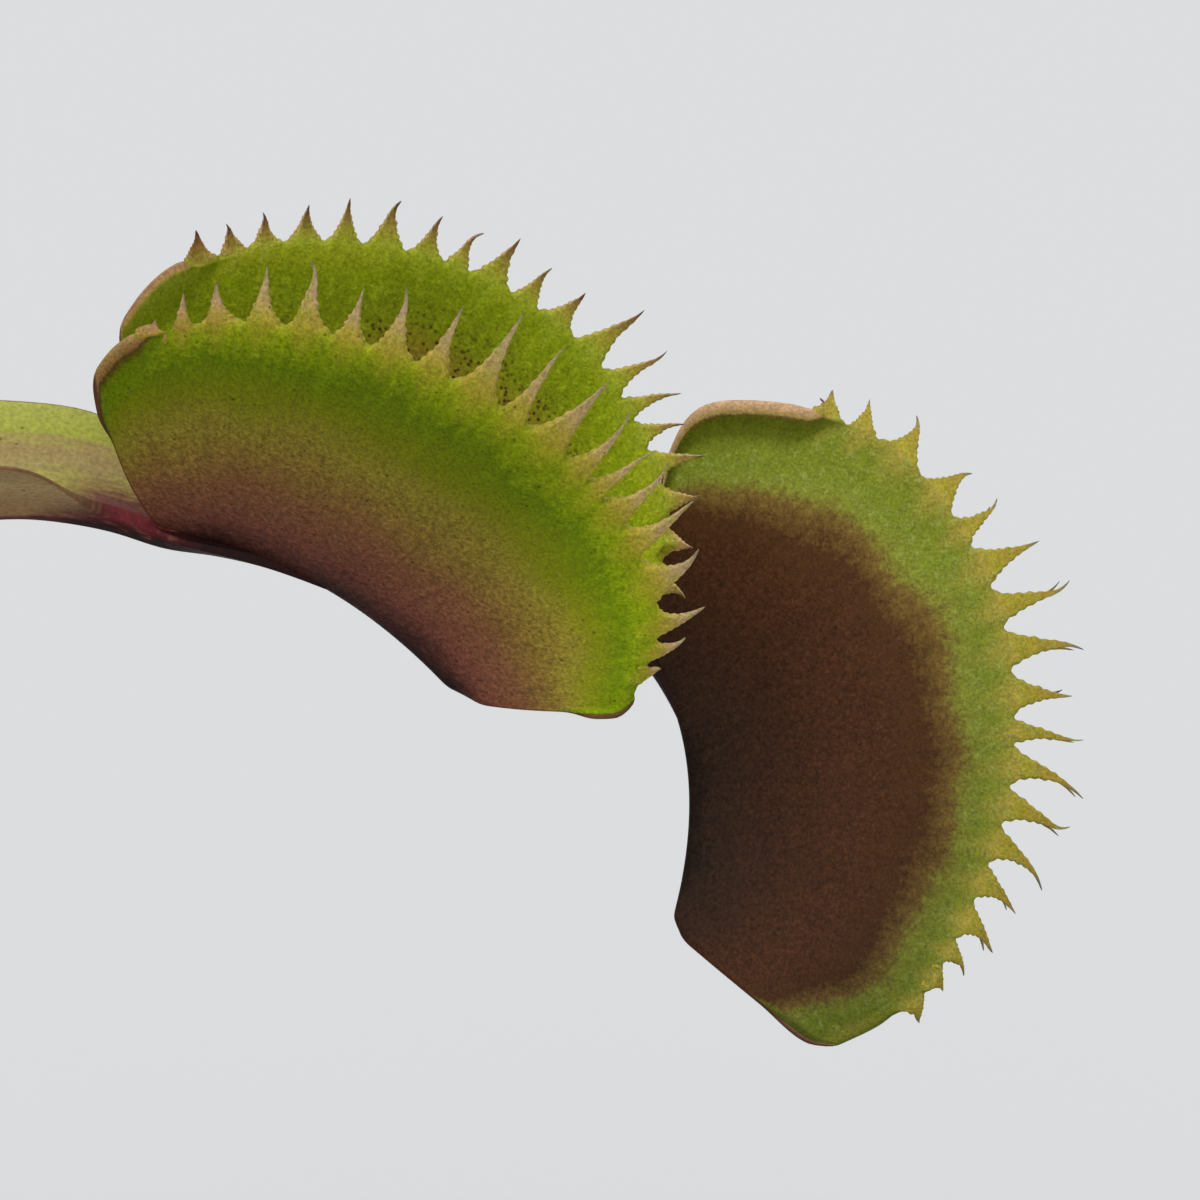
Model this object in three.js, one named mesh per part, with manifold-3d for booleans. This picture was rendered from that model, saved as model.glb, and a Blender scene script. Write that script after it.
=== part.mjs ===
// A potted venus flytrap: a thin plastic pot, potting mix, a short rhizome and a rosette of leaves.
// Each leaf is a winged petiole that ends in a trap: two curved lobes joined along a midrib, with a
// row of teeth on each margin. Millimetres, +Z up, origin in the middle of the pot's flat underside.
import * as THREE from 'three';
import { mergeVertices } from 'three/addons/utils/BufferGeometryUtils.js';
import Module from 'manifold-3d';

const { PI, cos, sin, sqrt, max, min, abs } = Math;
const radians = THREE.MathUtils.degToRad;

// ---------- driving dimensions ----------

const POT = {
  height: 80, rimRadius: 47.5, neckRadius: 44.6, baseRadius: 33.5, wall: 1.5, floor: 2.0,
  rimHeight: 9, rimTaper: 0.2, edge: 0.5, footBevel: 1.2, segments: 44,
  drains: 6, drainRadius: 3, drainCircle: 22, drainSegments: 12,
};
const SOIL = { level: 73, crownDip: 3, relief: 1.1, gap: 0.3 };
const RHIZOME = { radius: 9, centre: 67, foot: 55, footRadius: 5, segments: 14 };

const SHEET = 0.7; // thickness of a trap's lobes
const KEEL = 1.2; // thickness of a trap where its lobes meet
const ROOT_GAP = 0.3; // between a petiole and the rhizome
const JOINT_GAP = 0.65; // between a petiole and its trap

// A lobe's outline in its own plane: x runs along the midrib from the petiole, z away from it.
// "fold" is each lobe's lean from the trap's middle plane at the midrib, and "curl" at its margin,
// in degrees, both at the petiole's end, the middle and the far end.
const BROAD_TRAP = {
  chord: 15.1, rise: 1.5, skew: 0.9,
  margin: [[-6.6, 6.8], [-5.9, 10.5], [-1.8, 14.7], [5.1, 17.4], [13, 16.9], [19.8, 12.1], [21.7, 5.4]],
  endBow: [0, 0], fold: [33, 41, 34], curl: [2, 12, 5],
};
const LONG_TRAP = {
  chord: 16.7, rise: 2.5, skew: 1.2,
  margin: [[-4.9, 5], [-7.7, 8], [-4.2, 15.8], [4.3, 19.3], [13.5, 18], [21.6, 12.8], [24.3, 6.3]],
  endBow: [-0.09, -0.03], fold: [32, 28, 31], curl: [2, 1, 2],
};

// Teeth measured on the two large traps: where each one starts along the margin, its length, and its
// slant towards the far end of the margin in degrees, at the margin's start and added to by its end.
const FRONT_RIGHT_TEETH = {
  start: [3.4, 4.9, 6.4, 8.4, 10.4, 12.5, 14.3, 16.4, 18.3, 20.7, 22.3, 24.6, 26.1, 27.2, 29, 30.8,
    33.7, 35.7, 37.3],
  length: [0.5, 1.3, 1.8, 2.4, 3, 2.3, 3, 3.2, 3.8, 3.6, 3.9, 3.2, 2.9, 3.1, 3.2, 2.5, 2.2, 1.5, 0.8],
  end: 38.8, slant: [6, -14],
};
const FRONT_LEFT_TEETH = {
  start: [4.3, 5.6, 7.1, 8.7, 10.7, 12.4, 14.6, 16.4, 17.8, 20, 21.7, 23.8, 26, 27.6, 29, 30.4, 32.1,
    34, 36],
  length: [1.7, 1.6, 1.7, 1.9, 2.3, 2.5, 2.2, 2.1, 2.6, 2.1, 2.1, 3.5, 3.1, 2.7, 2.2, 2.7, 1.9, 1.4, 1.5],
  end: 37.9, slant: [5, 2],
};
const REAR_TEETH = {
  start: [9.3, 10.9, 12.7, 15.4, 18, 19.6, 22, 23.9, 26.1, 28.3, 29.7, 31.6, 33.6, 35.5, 37.5, 39.5,
    40.9, 42.5],
  length: [1.6, 1.7, 2.2, 2.1, 2.4, 3.2, 4, 3.9, 3.1, 3.7, 4, 3.7, 3.3, 2.5, 2.3, 1.4, 0.8, 1.3],
  end: 44.2, slant: [-45, 50],
};
const TOOTH_LEAN = 18; // degrees, towards the other lobe, on a trap as open as the two large ones
const CURL_WITH_OPENING = 30; // degrees that the margins turn outwards from a shut to a normal trap

// Leaves. "base" is [azimuth, angle from the vertical] on the rhizome, in degrees. "tip" is the joint
// between petiole and trap, "bend" the Bezier point before it, and "rootReach" how far the petiole
// keeps its first direction. "wing" is the wings' widest half-width, at the fraction "wingPeak" of the
// petiole, and a small "wingDrop" ends them abruptly. "heading", "pitch" and "roll" turn the trap, in
// degrees. The first two leaves arch over the rim; the others give how far out and how high they reach.
const LEAVES = [
  {
    trap: BROAD_TRAP, scale: 1, teeth: { right: FRONT_RIGHT_TEETH, left: FRONT_LEFT_TEETH }, rows: 5,
    base: [-24, 30], rootReach: 44, bend: [44, -4, 128], tip: [58.7, -0.8, 121],
    wing: 6, wingPeak: 0.88, wingDrop: 0.5, petioleRoll: -10,
    heading: 4.5, pitch: -31, roll: -14.5,
  },
  {
    trap: LONG_TRAP, scale: 1, teeth: { right: REAR_TEETH, left: REAR_TEETH }, rows: 5,
    base: [27, 30], rootReach: 46, bend: [52, 16.5, 131], tip: [77.7, 12.1, 115.8],
    wing: 4.2, wingPeak: 0.45, wingDrop: 0.8, petioleRoll: 0,
    heading: -48.1, pitch: -71.2, roll: 46.3,
  },
  {
    base: [67, 44], reach: 49, height: 101, endPitch: -14,
    scale: 0.8, pitch: -20, roll: 8, openness: 1.25,
  },
  {
    base: [105, 33], reach: 43, height: 121, endPitch: -4,
    scale: 0.86, pitch: -26, roll: -14, openness: 0.95,
  },
  {
    base: [138, 52], reach: 59, height: 91, endPitch: -8,
    scale: 0.74, pitch: -10, roll: 10, openness: 1.45,
  },
  {
    base: [176, 29], reach: 38, height: 125, endPitch: 6,
    scale: 0.8, pitch: -30, roll: 16, openness: 0.7,
  },
  {
    base: [216, 50], reach: 57, height: 96, endPitch: -12,
    scale: 0.84, pitch: -15, roll: -10, openness: 1.35,
  },
  {
    base: [254, 36], reach: 46, height: 112, endPitch: -8,
    scale: 0.78, pitch: -22, roll: 6, openness: 1.1,
  },
  {
    base: [296, 48], reach: 45, height: 90, endPitch: 0,
    scale: 0.6, pitch: -4, roll: -6, openness: 1.3,
  },
  {
    base: [200, 5], reach: 5, height: 104, endPitch: 62,
    scale: 0.36, pitch: 50, roll: 0, openness: 0.85,
  },
];
const SMALL_TRAP_TEETH = 12; // on each lobe of the smaller traps
const SEED = 11;

const PETIOLE = {
  stations: 14, crowding: 1.6, // sections, set closer together towards the trap
  baseHalfWidth: 1.5, endHalfWidth: 1.1, thickness: 0.7, baseThickness: 1.5,
  keel: 0.9, wingAngle: 38,
};

const COLOUR = {
  pot: 0x4a3a32, soil: 0x3b2b1f, rhizome: 0xc9cfa0, petiole: 0x93a546, trap: 0x7d8c2c, darkTrap: 0x4b2a22,
};

// ---------- small helpers ----------

/** A repeatable row of numbers between -1 and 1. */
function jitterRow(seed) {
  let state = seed;
  return () => {
    state = (state * 16807) % 2147483647;
    return (state / 2147483647) * 2 - 1;
  };
}

/** A value at fraction t from its values at the start, the middle and the end. */
const through = ([a, b, c], t) => a * (1 - t) * (1 - 2 * t) + b * 4 * t * (1 - t) + c * t * (2 * t - 1);

/** A closed body from points and triangles that all turn the same way. */
function closedGeometry(points, triangles) {
  let volume = 0;
  const cross = new THREE.Vector3();
  for (const [a, b, c] of triangles) volume += cross.crossVectors(points[b], points[c]).dot(points[a]);
  const outward = volume > 0 ? triangles : triangles.map(([a, b, c]) => [a, c, b]);
  const geometry = new THREE.BufferGeometry().setFromPoints(points);
  geometry.setIndex(outward.flat());
  geometry.computeVertexNormals();
  return geometry;
}

/** The two triangles of a four-cornered patch. */
const patch = (a, b, c, d) => [[a, b, c], [a, c, d]];

function finished(name, geometry, colour, roughness) {
  const mesh = new THREE.Mesh(
    geometry,
    new THREE.MeshStandardMaterial({ color: colour, roughness, metalness: 0 }),
  );
  mesh.name = name;
  return mesh;
}

// ---------- pot, soil and rhizome ----------

const wasm = await Module();
wasm.setup();

function manifoldOf(geometry) {
  const bare = geometry.clone();
  bare.deleteAttribute('normal');
  bare.deleteAttribute('uv');
  const merged = mergeVertices(bare, 1e-4);
  return new wasm.Manifold(new wasm.Mesh({
    numProp: 3,
    vertProperties: merged.attributes.position.array,
    triVerts: new Uint32Array(merged.index.array),
  }));
}

function geometryOf(manifold) {
  const { vertProperties, triVerts } = manifold.getMesh();
  const geometry = new THREE.BufferGeometry();
  geometry.setAttribute('position', new THREE.BufferAttribute(vertProperties, 3));
  geometry.setIndex(new THREE.BufferAttribute(triVerts, 1));
  geometry.computeVertexNormals();
  return geometry;
}

/** A body turned about the Z axis from [radius, height] points that start and end on the axis. */
function turned(profile, segments) {
  const lathe = new THREE.LatheGeometry(profile.map(([r, z]) => new THREE.Vector2(r, z)), segments);
  return lathe.rotateX(PI / 2);
}

/** The pot's outer radius below its rim at a height. */
function potRadiusAt(z) {
  return THREE.MathUtils.lerp(POT.baseRadius, POT.neckRadius, z / (POT.height - POT.rimHeight));
}

function potGeometry() {
  const { height, neckRadius, baseRadius, wall, floor, footBevel } = POT;
  const { rimRadius, rimHeight, rimTaper, edge } = POT;
  const neck = height - rimHeight;
  const shell = turned([
    [0, 0], [baseRadius - footBevel, 0], [baseRadius, footBevel],
    [neckRadius, neck - 2 * edge], [rimRadius - edge, neck], [rimRadius, neck + edge],
    [rimRadius, height - edge], [rimRadius - edge, height], [rimRadius - wall, height],
    [rimRadius - wall - rimTaper, neck + wall], [neckRadius - wall, neck - edge],
    [potRadiusAt(floor) - wall, floor], [0, floor],
  ], POT.segments);
  let pot = manifoldOf(shell);
  for (let i = 0; i < POT.drains; i++) {
    const angle = (2 * PI * (i + 0.5)) / POT.drains;
    const drill = new THREE.CylinderGeometry(
      POT.drainRadius, POT.drainRadius, 3 * floor, POT.drainSegments,
    );
    drill.rotateX(PI / 2).translate(POT.drainCircle * cos(angle), POT.drainCircle * sin(angle), 0);
    pot = pot.subtract(manifoldOf(drill));
  }
  return geometryOf(pot);
}

/** The soil's surface: low round the crown, uneven, and level against the pot. */
function soilHeight(x, y) {
  const r = sqrt(x * x + y * y);
  const dip = SOIL.crownDip * Math.exp(-((r / 16) ** 2));
  const bumps = sin(0.21 * x + 1.3) * cos(0.19 * y - 0.6) + 0.5 * sin(0.47 * x - 0.33 * y + 2.1);
  const calm = THREE.MathUtils.smoothstep(POT.neckRadius - r, 0, 10);
  return SOIL.level - dip + SOIL.relief * bumps * calm;
}

function soilGeometry() {
  const { level, gap } = SOIL;
  const neck = POT.height - POT.rimHeight;
  const bottom = POT.floor + gap;
  const besideWall = (z) => potRadiusAt(z) - POT.wall - gap;
  const edge = POT.rimRadius - POT.wall - POT.rimTaper - 1.5 * gap;
  const hole = RHIZOME.radius + gap;
  const rings = [1, 0.82, 0.62, 0.42, 0.2, 0].map((t) => THREE.MathUtils.lerp(hole, edge, t));
  const geometry = turned([
    [0, bottom], [besideWall(bottom), bottom], [besideWall(neck - gap), neck - gap],
    [edge, neck + POT.wall + gap],
    ...rings.map((r) => [r, level]),
    [hole, RHIZOME.centre - 3 * gap], [RHIZOME.footRadius + 3 * gap, RHIZOME.foot - gap],
    [0, RHIZOME.foot - gap],
  ], POT.segments);
  const at = geometry.attributes.position;
  for (let i = 0; i < at.count; i++)
    if (abs(at.getZ(i) - level) < 1e-3) at.setZ(i, soilHeight(at.getX(i), at.getY(i)));
  return geometryOf(manifoldOf(geometry));
}

function rhizomeGeometry() {
  const { radius, centre, foot, footRadius, segments } = RHIZOME;
  const dome = [90, 70, 50, 30, 12].map(radians)
    .map((fromTop) => [radius * sin(fromTop), centre + radius * cos(fromTop)]);
  const profile = [[0, foot], [footRadius, foot], ...dome, [0, centre + radius]];
  return geometryOf(manifoldOf(turned(profile, segments)));
}

// ---------- traps ----------

/** Points of a lobe: side is 1 for the left one and -1 for the right, v runs from midrib to margin. */
function lobe(shape, scale, openness) {
  const margin = new THREE.SplineCurve(
    shape.margin.map(([x, z]) => new THREE.Vector2(x * scale, z * scale)),
  );
  margin.arcLengthDivisions = 400;
  const fold = shape.fold.map((angle) => angle * openness);
  const curl = shape.curl.map((angle) => angle + CURL_WITH_OPENING * (openness - 1));
  return {
    marginLength: margin.getLength(),
    point(side, midribAt, marginAt, v) {
      const u = midribAt;
      const foot = new THREE.Vector2(
        shape.chord * u,
        shape.rise * 4 * u * (1 - u) + shape.skew * u * (1 - u) * (1 - 2 * u),
      ).multiplyScalar(scale);
      const reach = margin.getPointAt(min(1, max(0, marginAt))).sub(foot);
      const height = reach.length();
      const along = reach.divideScalar(height);
      const lean = radians(through(fold, u));
      const turn = radians(through(curl, u)) - lean;
      const rise = (sin(lean + turn * v) - sin(lean)) / turn;
      const spread = (cos(lean) - cos(lean + turn * v)) / turn;
      const bow = (shape.endBow[0] * (1 - u) ** 3 + shape.endBow[1] * u ** 3) * 4 * v * (1 - v);
      return new THREE.Vector3(
        foot.x + height * (rise * along.x - bow * along.y),
        side * height * spread,
        foot.y + height * (rise * along.y + bow * along.x),
      );
    },
  };
}

/** Evenly spaced teeth for a smaller trap: short at both ends of the margin, uneven by a seeded row. */
function evenTeeth(marginLength, scale, jitter) {
  const first = 0.12 * marginLength;
  const end = 0.95 * marginLength;
  const pitch = (end - first) / SMALL_TRAP_TEETH;
  const start = [];
  const length = [];
  for (let i = 0; i < SMALL_TRAP_TEETH; i++) {
    start.push(first + pitch * (i + (i ? 0.12 * jitter() : 0)));
    length.push(scale * (1.3 + 2.6 * sin((PI * (i + 0.6)) / SMALL_TRAP_TEETH)) * (1 + 0.12 * jitter()));
  }
  return { start, length, end, slant: [5, -8] };
}

/**
 * One trap: a sheet of two lobes with its outer skin on the lobe surfaces and its inner skin a
 * thickness inside, closed by a wall at each end, and by the teeth along the margins.
 */
function trapGeometry(shape, scale, openness, teeth, rowsPerLobe) {
  const body = lobe(shape, scale, openness);
  const valleysOf = ({ start, end }) => [0, 0.5 * start[0], ...start, end, body.marginLength]
    .map((at) => at / body.marginLength);
  const valleys = { 1: valleysOf(teeth.left), '-1': valleysOf(teeth.right) };
  const columns = valleys[1].length;
  const firstTooth = 2;
  const lastTooth = columns - 3;
  const rows = 2 * rowsPerLobe + 1;

  const points = [];
  for (let i = 0; i < columns; i++) {
    const midribAt = 0.5 * (valleys[1][i] + valleys[-1][i]);
    for (let j = 0; j < rows; j++) {
      const across = (j - rowsPerLobe) / rowsPerLobe;
      const side = across < 0 ? -1 : 1;
      points.push(body.point(side, midribAt, valleys[side][i], abs(across) ** 1.15));
    }
  }
  const cell = (i, j) => i * rows + j;
  const skin = [];
  for (let i = 0; i + 1 < columns; i++)
    for (let j = 0; j + 1 < rows; j++)
      skin.push(...patch(cell(i, j), cell(i + 1, j), cell(i + 1, j + 1), cell(i, j + 1)));

  const sheet = new THREE.BufferGeometry().setFromPoints(points);
  sheet.setIndex(skin.flat());
  sheet.computeVertexNormals();
  const inwards = new THREE.Vector3();
  const innerStart = points.length;
  for (let k = 0; k < innerStart; k++) {
    inwards.fromBufferAttribute(sheet.attributes.normal, k);
    const onMidrib = k % rows === rowsPerLobe;
    points.push(points[k].clone().addScaledVector(inwards, onMidrib ? KEEL : SHEET));
  }
  const outerSkin = skin.map(([a, b, c]) => [a, c, b]);
  const innerSkin = skin.map((corners) => corners.map((k) => k + innerStart));
  const triangles = [...outerSkin, ...innerSkin];

  const wall = (a, b) => triangles.push(...patch(a, b, b + innerStart, a + innerStart));
  for (let j = 0; j + 1 < rows; j++) {
    wall(cell(0, j + 1), cell(0, j));
    wall(cell(columns - 1, j), cell(columns - 1, j + 1));
  }
  for (const side of [-1, 1]) {
    const edge = side < 0 ? 0 : rows - 1;
    const nextIn = edge - side;
    const { length, slant: slants } = side < 0 ? teeth.right : teeth.left;
    for (let i = 0; i + 1 < columns; i++) {
      const [a, b] = side < 0 ? [cell(i, edge), cell(i + 1, edge)] : [cell(i + 1, edge), cell(i, edge)];
      if (i < firstTooth || i > lastTooth) {
        wall(a, b);
        continue;
      }
      const ring = [a, b, b + innerStart, a + innerStart];
      const middle = ring.reduce((sum, k) => sum.add(points[k]), new THREE.Vector3()).divideScalar(4);
      const inner = points[cell(i, nextIn)].clone().add(points[cell(i + 1, nextIn)]).multiplyScalar(0.5);
      const alongMargin = points[cell(i + 1, edge)].clone().sub(points[cell(i, edge)]);
      const pitch = alongMargin.length();
      alongMargin.divideScalar(pitch);
      const out = middle.clone().sub(inner);
      out.addScaledVector(alongMargin, -out.dot(alongMargin)).normalize();
      const toOther = points[a + innerStart].clone().sub(points[a]).normalize();
      const slant = radians(slants[0] + slants[1] * (i / columns));
      const lean = radians(TOOTH_LEAN * min(1, openness));
      const direction = out.multiplyScalar(cos(lean) * cos(slant))
        .addScaledVector(toOther, sin(lean))
        .addScaledVector(alongMargin, cos(lean) * sin(slant));
      const tall = length[i - firstTooth];
      const shoulder = middle.clone().addScaledVector(direction, 0.42 * tall);
      const start = points.length;
      for (const k of ring)
        points.push(shoulder.clone().addScaledVector(points[k].clone().sub(middle), 0.42));
      points.push(middle.clone().addScaledVector(direction, tall));
      for (let n = 0; n < 4; n++) {
        const m = (n + 1) % 4;
        triangles.push(...patch(ring[n], ring[m], start + m, start + n), [start + n, start + m, start + 4]);
      }
    }
  }
  return closedGeometry(points, triangles);
}

/** Turns a trap's own frame, x along the midrib and z out of its mouth, to its place on the plant. */
function placeTrap(mesh, tip, heading, pitch, roll) {
  const h = radians(heading);
  const p = radians(pitch);
  const forward = new THREE.Vector3(cos(p) * cos(h), cos(p) * sin(h), sin(p));
  const left = new THREE.Vector3(-sin(h), cos(h), 0);
  const up = new THREE.Vector3().crossVectors(forward, left);
  mesh.quaternion.setFromRotationMatrix(new THREE.Matrix4().makeBasis(forward, left, up));
  mesh.rotateX(-radians(roll));
  mesh.position.copy(tip);
}

// ---------- petioles ----------

/** The wings' half-width from the base, at 0, to the trap, at 1. */
function wingWidth(leaf, t) {
  const { baseHalfWidth, endHalfWidth } = PETIOLE;
  const peak = leaf.wingPeak;
  const swell = t < peak
    ? sin((PI / 2) * (t / peak)) ** 1.4
    : cos((PI / 2) * ((t - peak) / (1 - peak))) ** leaf.wingDrop;
  const plain = THREE.MathUtils.lerp(baseHalfWidth, endHalfWidth, t);
  return plain + (leaf.wing - plain) * swell;
}

/** A petiole: V-shaped sections, thick at the keel and thin in the wings, set square to a curve. */
function petioleGeometry(leaf, curve) {
  const { stations, thickness, baseThickness, keel, wingAngle } = PETIOLE;
  const points = [];
  const triangles = [];
  const sides = 8;
  for (let i = 0; i < stations; i++) {
    const t = 1 - (1 - i / (stations - 1)) ** PETIOLE.crowding;
    const at = curve.getPointAt(t);
    const forward = curve.getTangentAt(t);
    const left = new THREE.Vector3(-sin(leaf.facing(t)), cos(leaf.facing(t)), 0);
    left.addScaledVector(forward, -left.dot(forward)).normalize();
    left.applyAxisAngle(forward, -radians(leaf.petioleRoll));
    const up = new THREE.Vector3().crossVectors(forward, left);
    const width = wingWidth(leaf, t);
    const skin = THREE.MathUtils.lerp(baseThickness, thickness, min(1, t * 4));
    const across = width * cos(radians(wingAngle));
    const raised = width * sin(radians(wingAngle));
    const section = [
      [0, -keel], [0.5 * across, 0.5 * raised - skin * 0.75], [across, raised - skin * 0.5],
      [across, raised + skin * 0.5], [0, skin * 0.6], [-across, raised + skin * 0.5],
      [-across, raised - skin * 0.5], [-0.5 * across, 0.5 * raised - skin * 0.75],
    ];
    const endLean = i === stations - 1 ? leaf.endEdge.dot(forward) / leaf.endEdge.dot(up) : 0;
    for (const [x, z] of section)
      points.push(at.clone().addScaledVector(left, x).addScaledVector(up, z)
        .addScaledVector(forward, max(0, z) * endLean));
  }
  const cell = (i, j) => i * sides + (j % sides);
  for (let i = 0; i + 1 < stations; i++)
    for (let j = 0; j < sides; j++)
      triangles.push(...patch(cell(i, j), cell(i, j + 1), cell(i + 1, j + 1), cell(i + 1, j)));
  const last = stations - 1;
  const cap = [[0, 1, 4], [1, 2, 4], [2, 3, 4], [0, 4, 7], [4, 5, 7], [5, 6, 7]];
  for (const [a, b, c] of cap)
    triangles.push([cell(0, a), cell(0, c), cell(0, b)], [cell(last, a), cell(last, b), cell(last, c)]);
  return closedGeometry(points, triangles);
}

// ---------- the plant ----------

/** Fills in what a smaller leaf leaves out, from its reach, height and angles. */
function completed(leaf, number) {
  if (leaf.tip) return { openness: 1, ...leaf };
  const azimuth = radians(leaf.base[0]);
  const outward = new THREE.Vector3(cos(azimuth), sin(azimuth), 0);
  const tip = outward.clone().multiplyScalar(leaf.reach).setZ(leaf.height);
  const rise = radians(leaf.endPitch);
  const length = 0.42 * leaf.reach + 6;
  const bend = tip.clone().addScaledVector(outward, -length * cos(rise));
  bend.z -= length * sin(rise);
  return {
    ...leaf, trap: number % 2 ? BROAD_TRAP : LONG_TRAP, rows: 3,
    rootReach: 0.45 * (leaf.height - RHIZOME.centre), bend: bend.toArray(), tip: tip.toArray(),
    wing: 7 * leaf.scale, wingPeak: 0.74, wingDrop: 1.4, heading: leaf.base[0], petioleRoll: 0,
  };
}

function petioleCurve(leaf) {
  const [azimuth, fromVertical] = leaf.base.map(radians);
  const outward = new THREE.Vector3(
    cos(azimuth) * sin(fromVertical), sin(azimuth) * sin(fromVertical), cos(fromVertical),
  );
  const crown = new THREE.Vector3(0, 0, RHIZOME.centre);
  const start = crown.clone().addScaledVector(outward, RHIZOME.radius + ROOT_GAP);
  const bend = new THREE.Vector3(...leaf.bend);
  const tip = new THREE.Vector3(...leaf.tip);
  const back = bend.clone().sub(tip).setLength(JOINT_GAP);
  return new THREE.CubicBezierCurve3(
    start, start.clone().addScaledVector(outward, leaf.rootReach), bend, tip.clone().add(back),
  );
}

const plant = new THREE.Group();
plant.add(finished('pot', potGeometry(), COLOUR.pot, 0.55));
plant.add(finished('soil', soilGeometry(), COLOUR.soil, 0.95));
plant.add(finished('rhizome', rhizomeGeometry(), COLOUR.rhizome, 0.6));

const jitter = jitterRow(SEED);
LEAVES.forEach((given, index) => {
  const leaf = completed(given, index + 1);
  const curve = petioleCurve(leaf);
  const startAzimuth = radians(leaf.base[0]);
  const endAzimuth = Math.atan2(leaf.tip[1] - leaf.bend[1], leaf.tip[0] - leaf.bend[0]);
  const turn = Math.atan2(sin(endAzimuth - startAzimuth), cos(endAzimuth - startAzimuth));
  leaf.facing = (t) => startAzimuth + turn * t;

  let { teeth } = leaf;
  if (!teeth) {
    const { marginLength } = lobe(leaf.trap, leaf.scale, leaf.openness);
    teeth = {
      left: evenTeeth(marginLength, leaf.scale, jitter),
      right: evenTeeth(marginLength, leaf.scale, jitter),
    };
  }
  const trap = finished(
    `leaf_${index + 1}_trap`,
    trapGeometry(leaf.trap, leaf.scale, leaf.openness, teeth, leaf.rows),
    index === 1 ? COLOUR.darkTrap : COLOUR.trap, 0.45,
  );
  placeTrap(trap, new THREE.Vector3(...leaf.tip), leaf.heading, leaf.pitch, leaf.roll);
  plant.add(trap);

  const [edgeX, edgeZ] = leaf.trap.margin[0];
  leaf.endEdge = new THREE.Vector3(edgeX, 0, edgeZ).applyQuaternion(trap.quaternion);
  plant.add(finished(`leaf_${index + 1}_petiole`, petioleGeometry(leaf, curve), COLOUR.petiole, 0.5));
});

export default plant;
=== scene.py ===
# %% [markdown]
# # A potted venus flytrap
#
# The plant stands ready as plain solids: a nursery pot, its soil, a rhizome and ten leaves, each a winged
# stalk (petiole) with a trap at its end. This notebook dresses them. Every solid is replaced by a finer
# piece of the same form: skins that follow the same curves, teeth with ragged flanks and hooked tips,
# a spun pot, and soil with crumbs, perlite and moss. Lengths are in millimetres until they reach a mesh.

# %% Load the solids
import math

import bpy
import numpy as np
from mathutils import Matrix, Vector


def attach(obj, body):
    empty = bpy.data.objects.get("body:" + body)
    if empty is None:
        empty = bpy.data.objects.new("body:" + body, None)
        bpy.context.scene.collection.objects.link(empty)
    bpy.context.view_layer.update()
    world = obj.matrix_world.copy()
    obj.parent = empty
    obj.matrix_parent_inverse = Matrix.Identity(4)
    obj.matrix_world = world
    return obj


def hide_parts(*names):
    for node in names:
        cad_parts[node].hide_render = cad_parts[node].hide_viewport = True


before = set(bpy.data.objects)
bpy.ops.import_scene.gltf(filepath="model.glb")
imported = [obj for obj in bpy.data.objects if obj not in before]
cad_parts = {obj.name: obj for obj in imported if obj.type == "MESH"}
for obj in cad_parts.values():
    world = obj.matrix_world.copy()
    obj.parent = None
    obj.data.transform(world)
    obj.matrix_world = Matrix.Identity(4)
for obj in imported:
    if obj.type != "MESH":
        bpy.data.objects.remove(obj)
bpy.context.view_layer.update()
MM = 0.001

# %% [markdown]
# ## Camera, floor and light
#
# The photograph is a close-up of the two long leaves: a frame only 54 mm wide, seen from a little above.
# A 100 mm lens 150 mm away gives that frame. The surroundings are an evenly lit pale grey, so the floor is
# a wide plain sheet that reaches past the top of the view, and the light is a bright sky with one large
# soft sun above and in front. The colours are chosen for the Standard view transform, which shows a
# surface colour as it is.

# %% Camera
FOCUS = Vector((78.0, 0.0, 118.0))
DISTANCE = 150.0
ELEVATION = math.radians(12)
TOWARDS_CAMERA = Vector((0.0, -math.cos(ELEVATION), math.sin(ELEVATION)))


def deselect_all():
    """Operators act on whatever is selected, and the loaded solids start out selected."""
    if bpy.context.mode != "OBJECT":
        bpy.ops.object.mode_set(mode="OBJECT")
    bpy.ops.object.select_all(action="DESELECT")


deselect_all()
bpy.ops.object.camera_add(location=(FOCUS + DISTANCE * TOWARDS_CAMERA) * MM,
                          rotation=(math.pi / 2 - ELEVATION, 0, 0))
camera = bpy.context.object
camera.data.lens = 100
camera.data.sensor_width = 36
camera.data.clip_start = 0.005
bpy.context.scene.camera = camera
bpy.context.scene.view_settings.view_transform = "Standard"
print("camera at", [round(v / MM, 1) for v in camera.location])

# %% Colour and node helpers


def linear(hex_code):
    """An sRGB hex colour as the linear RGBA that shaders take."""
    channels = [int(hex_code[i:i + 2], 16) / 255 for i in (1, 3, 5)]
    return [c / 12.92 if c <= 0.04045 else ((c + 0.055) / 1.055) ** 2.4 for c in channels] + [1.0]


def set_inputs(node, *in_order, **by_name):
    """Fills the inputs of a node that are in use, in their order or by name. A socket makes a link."""
    in_use = [socket for socket in node.inputs if socket.enabled]
    named = [(node.inputs[name.replace("_", " ")], value) for name, value in by_name.items()]
    for socket, value in [*zip(in_use, in_order), *named]:
        if isinstance(value, bpy.types.NodeSocket):
            node.id_data.links.new(value, socket)
        else:
            socket.default_value = value


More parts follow.
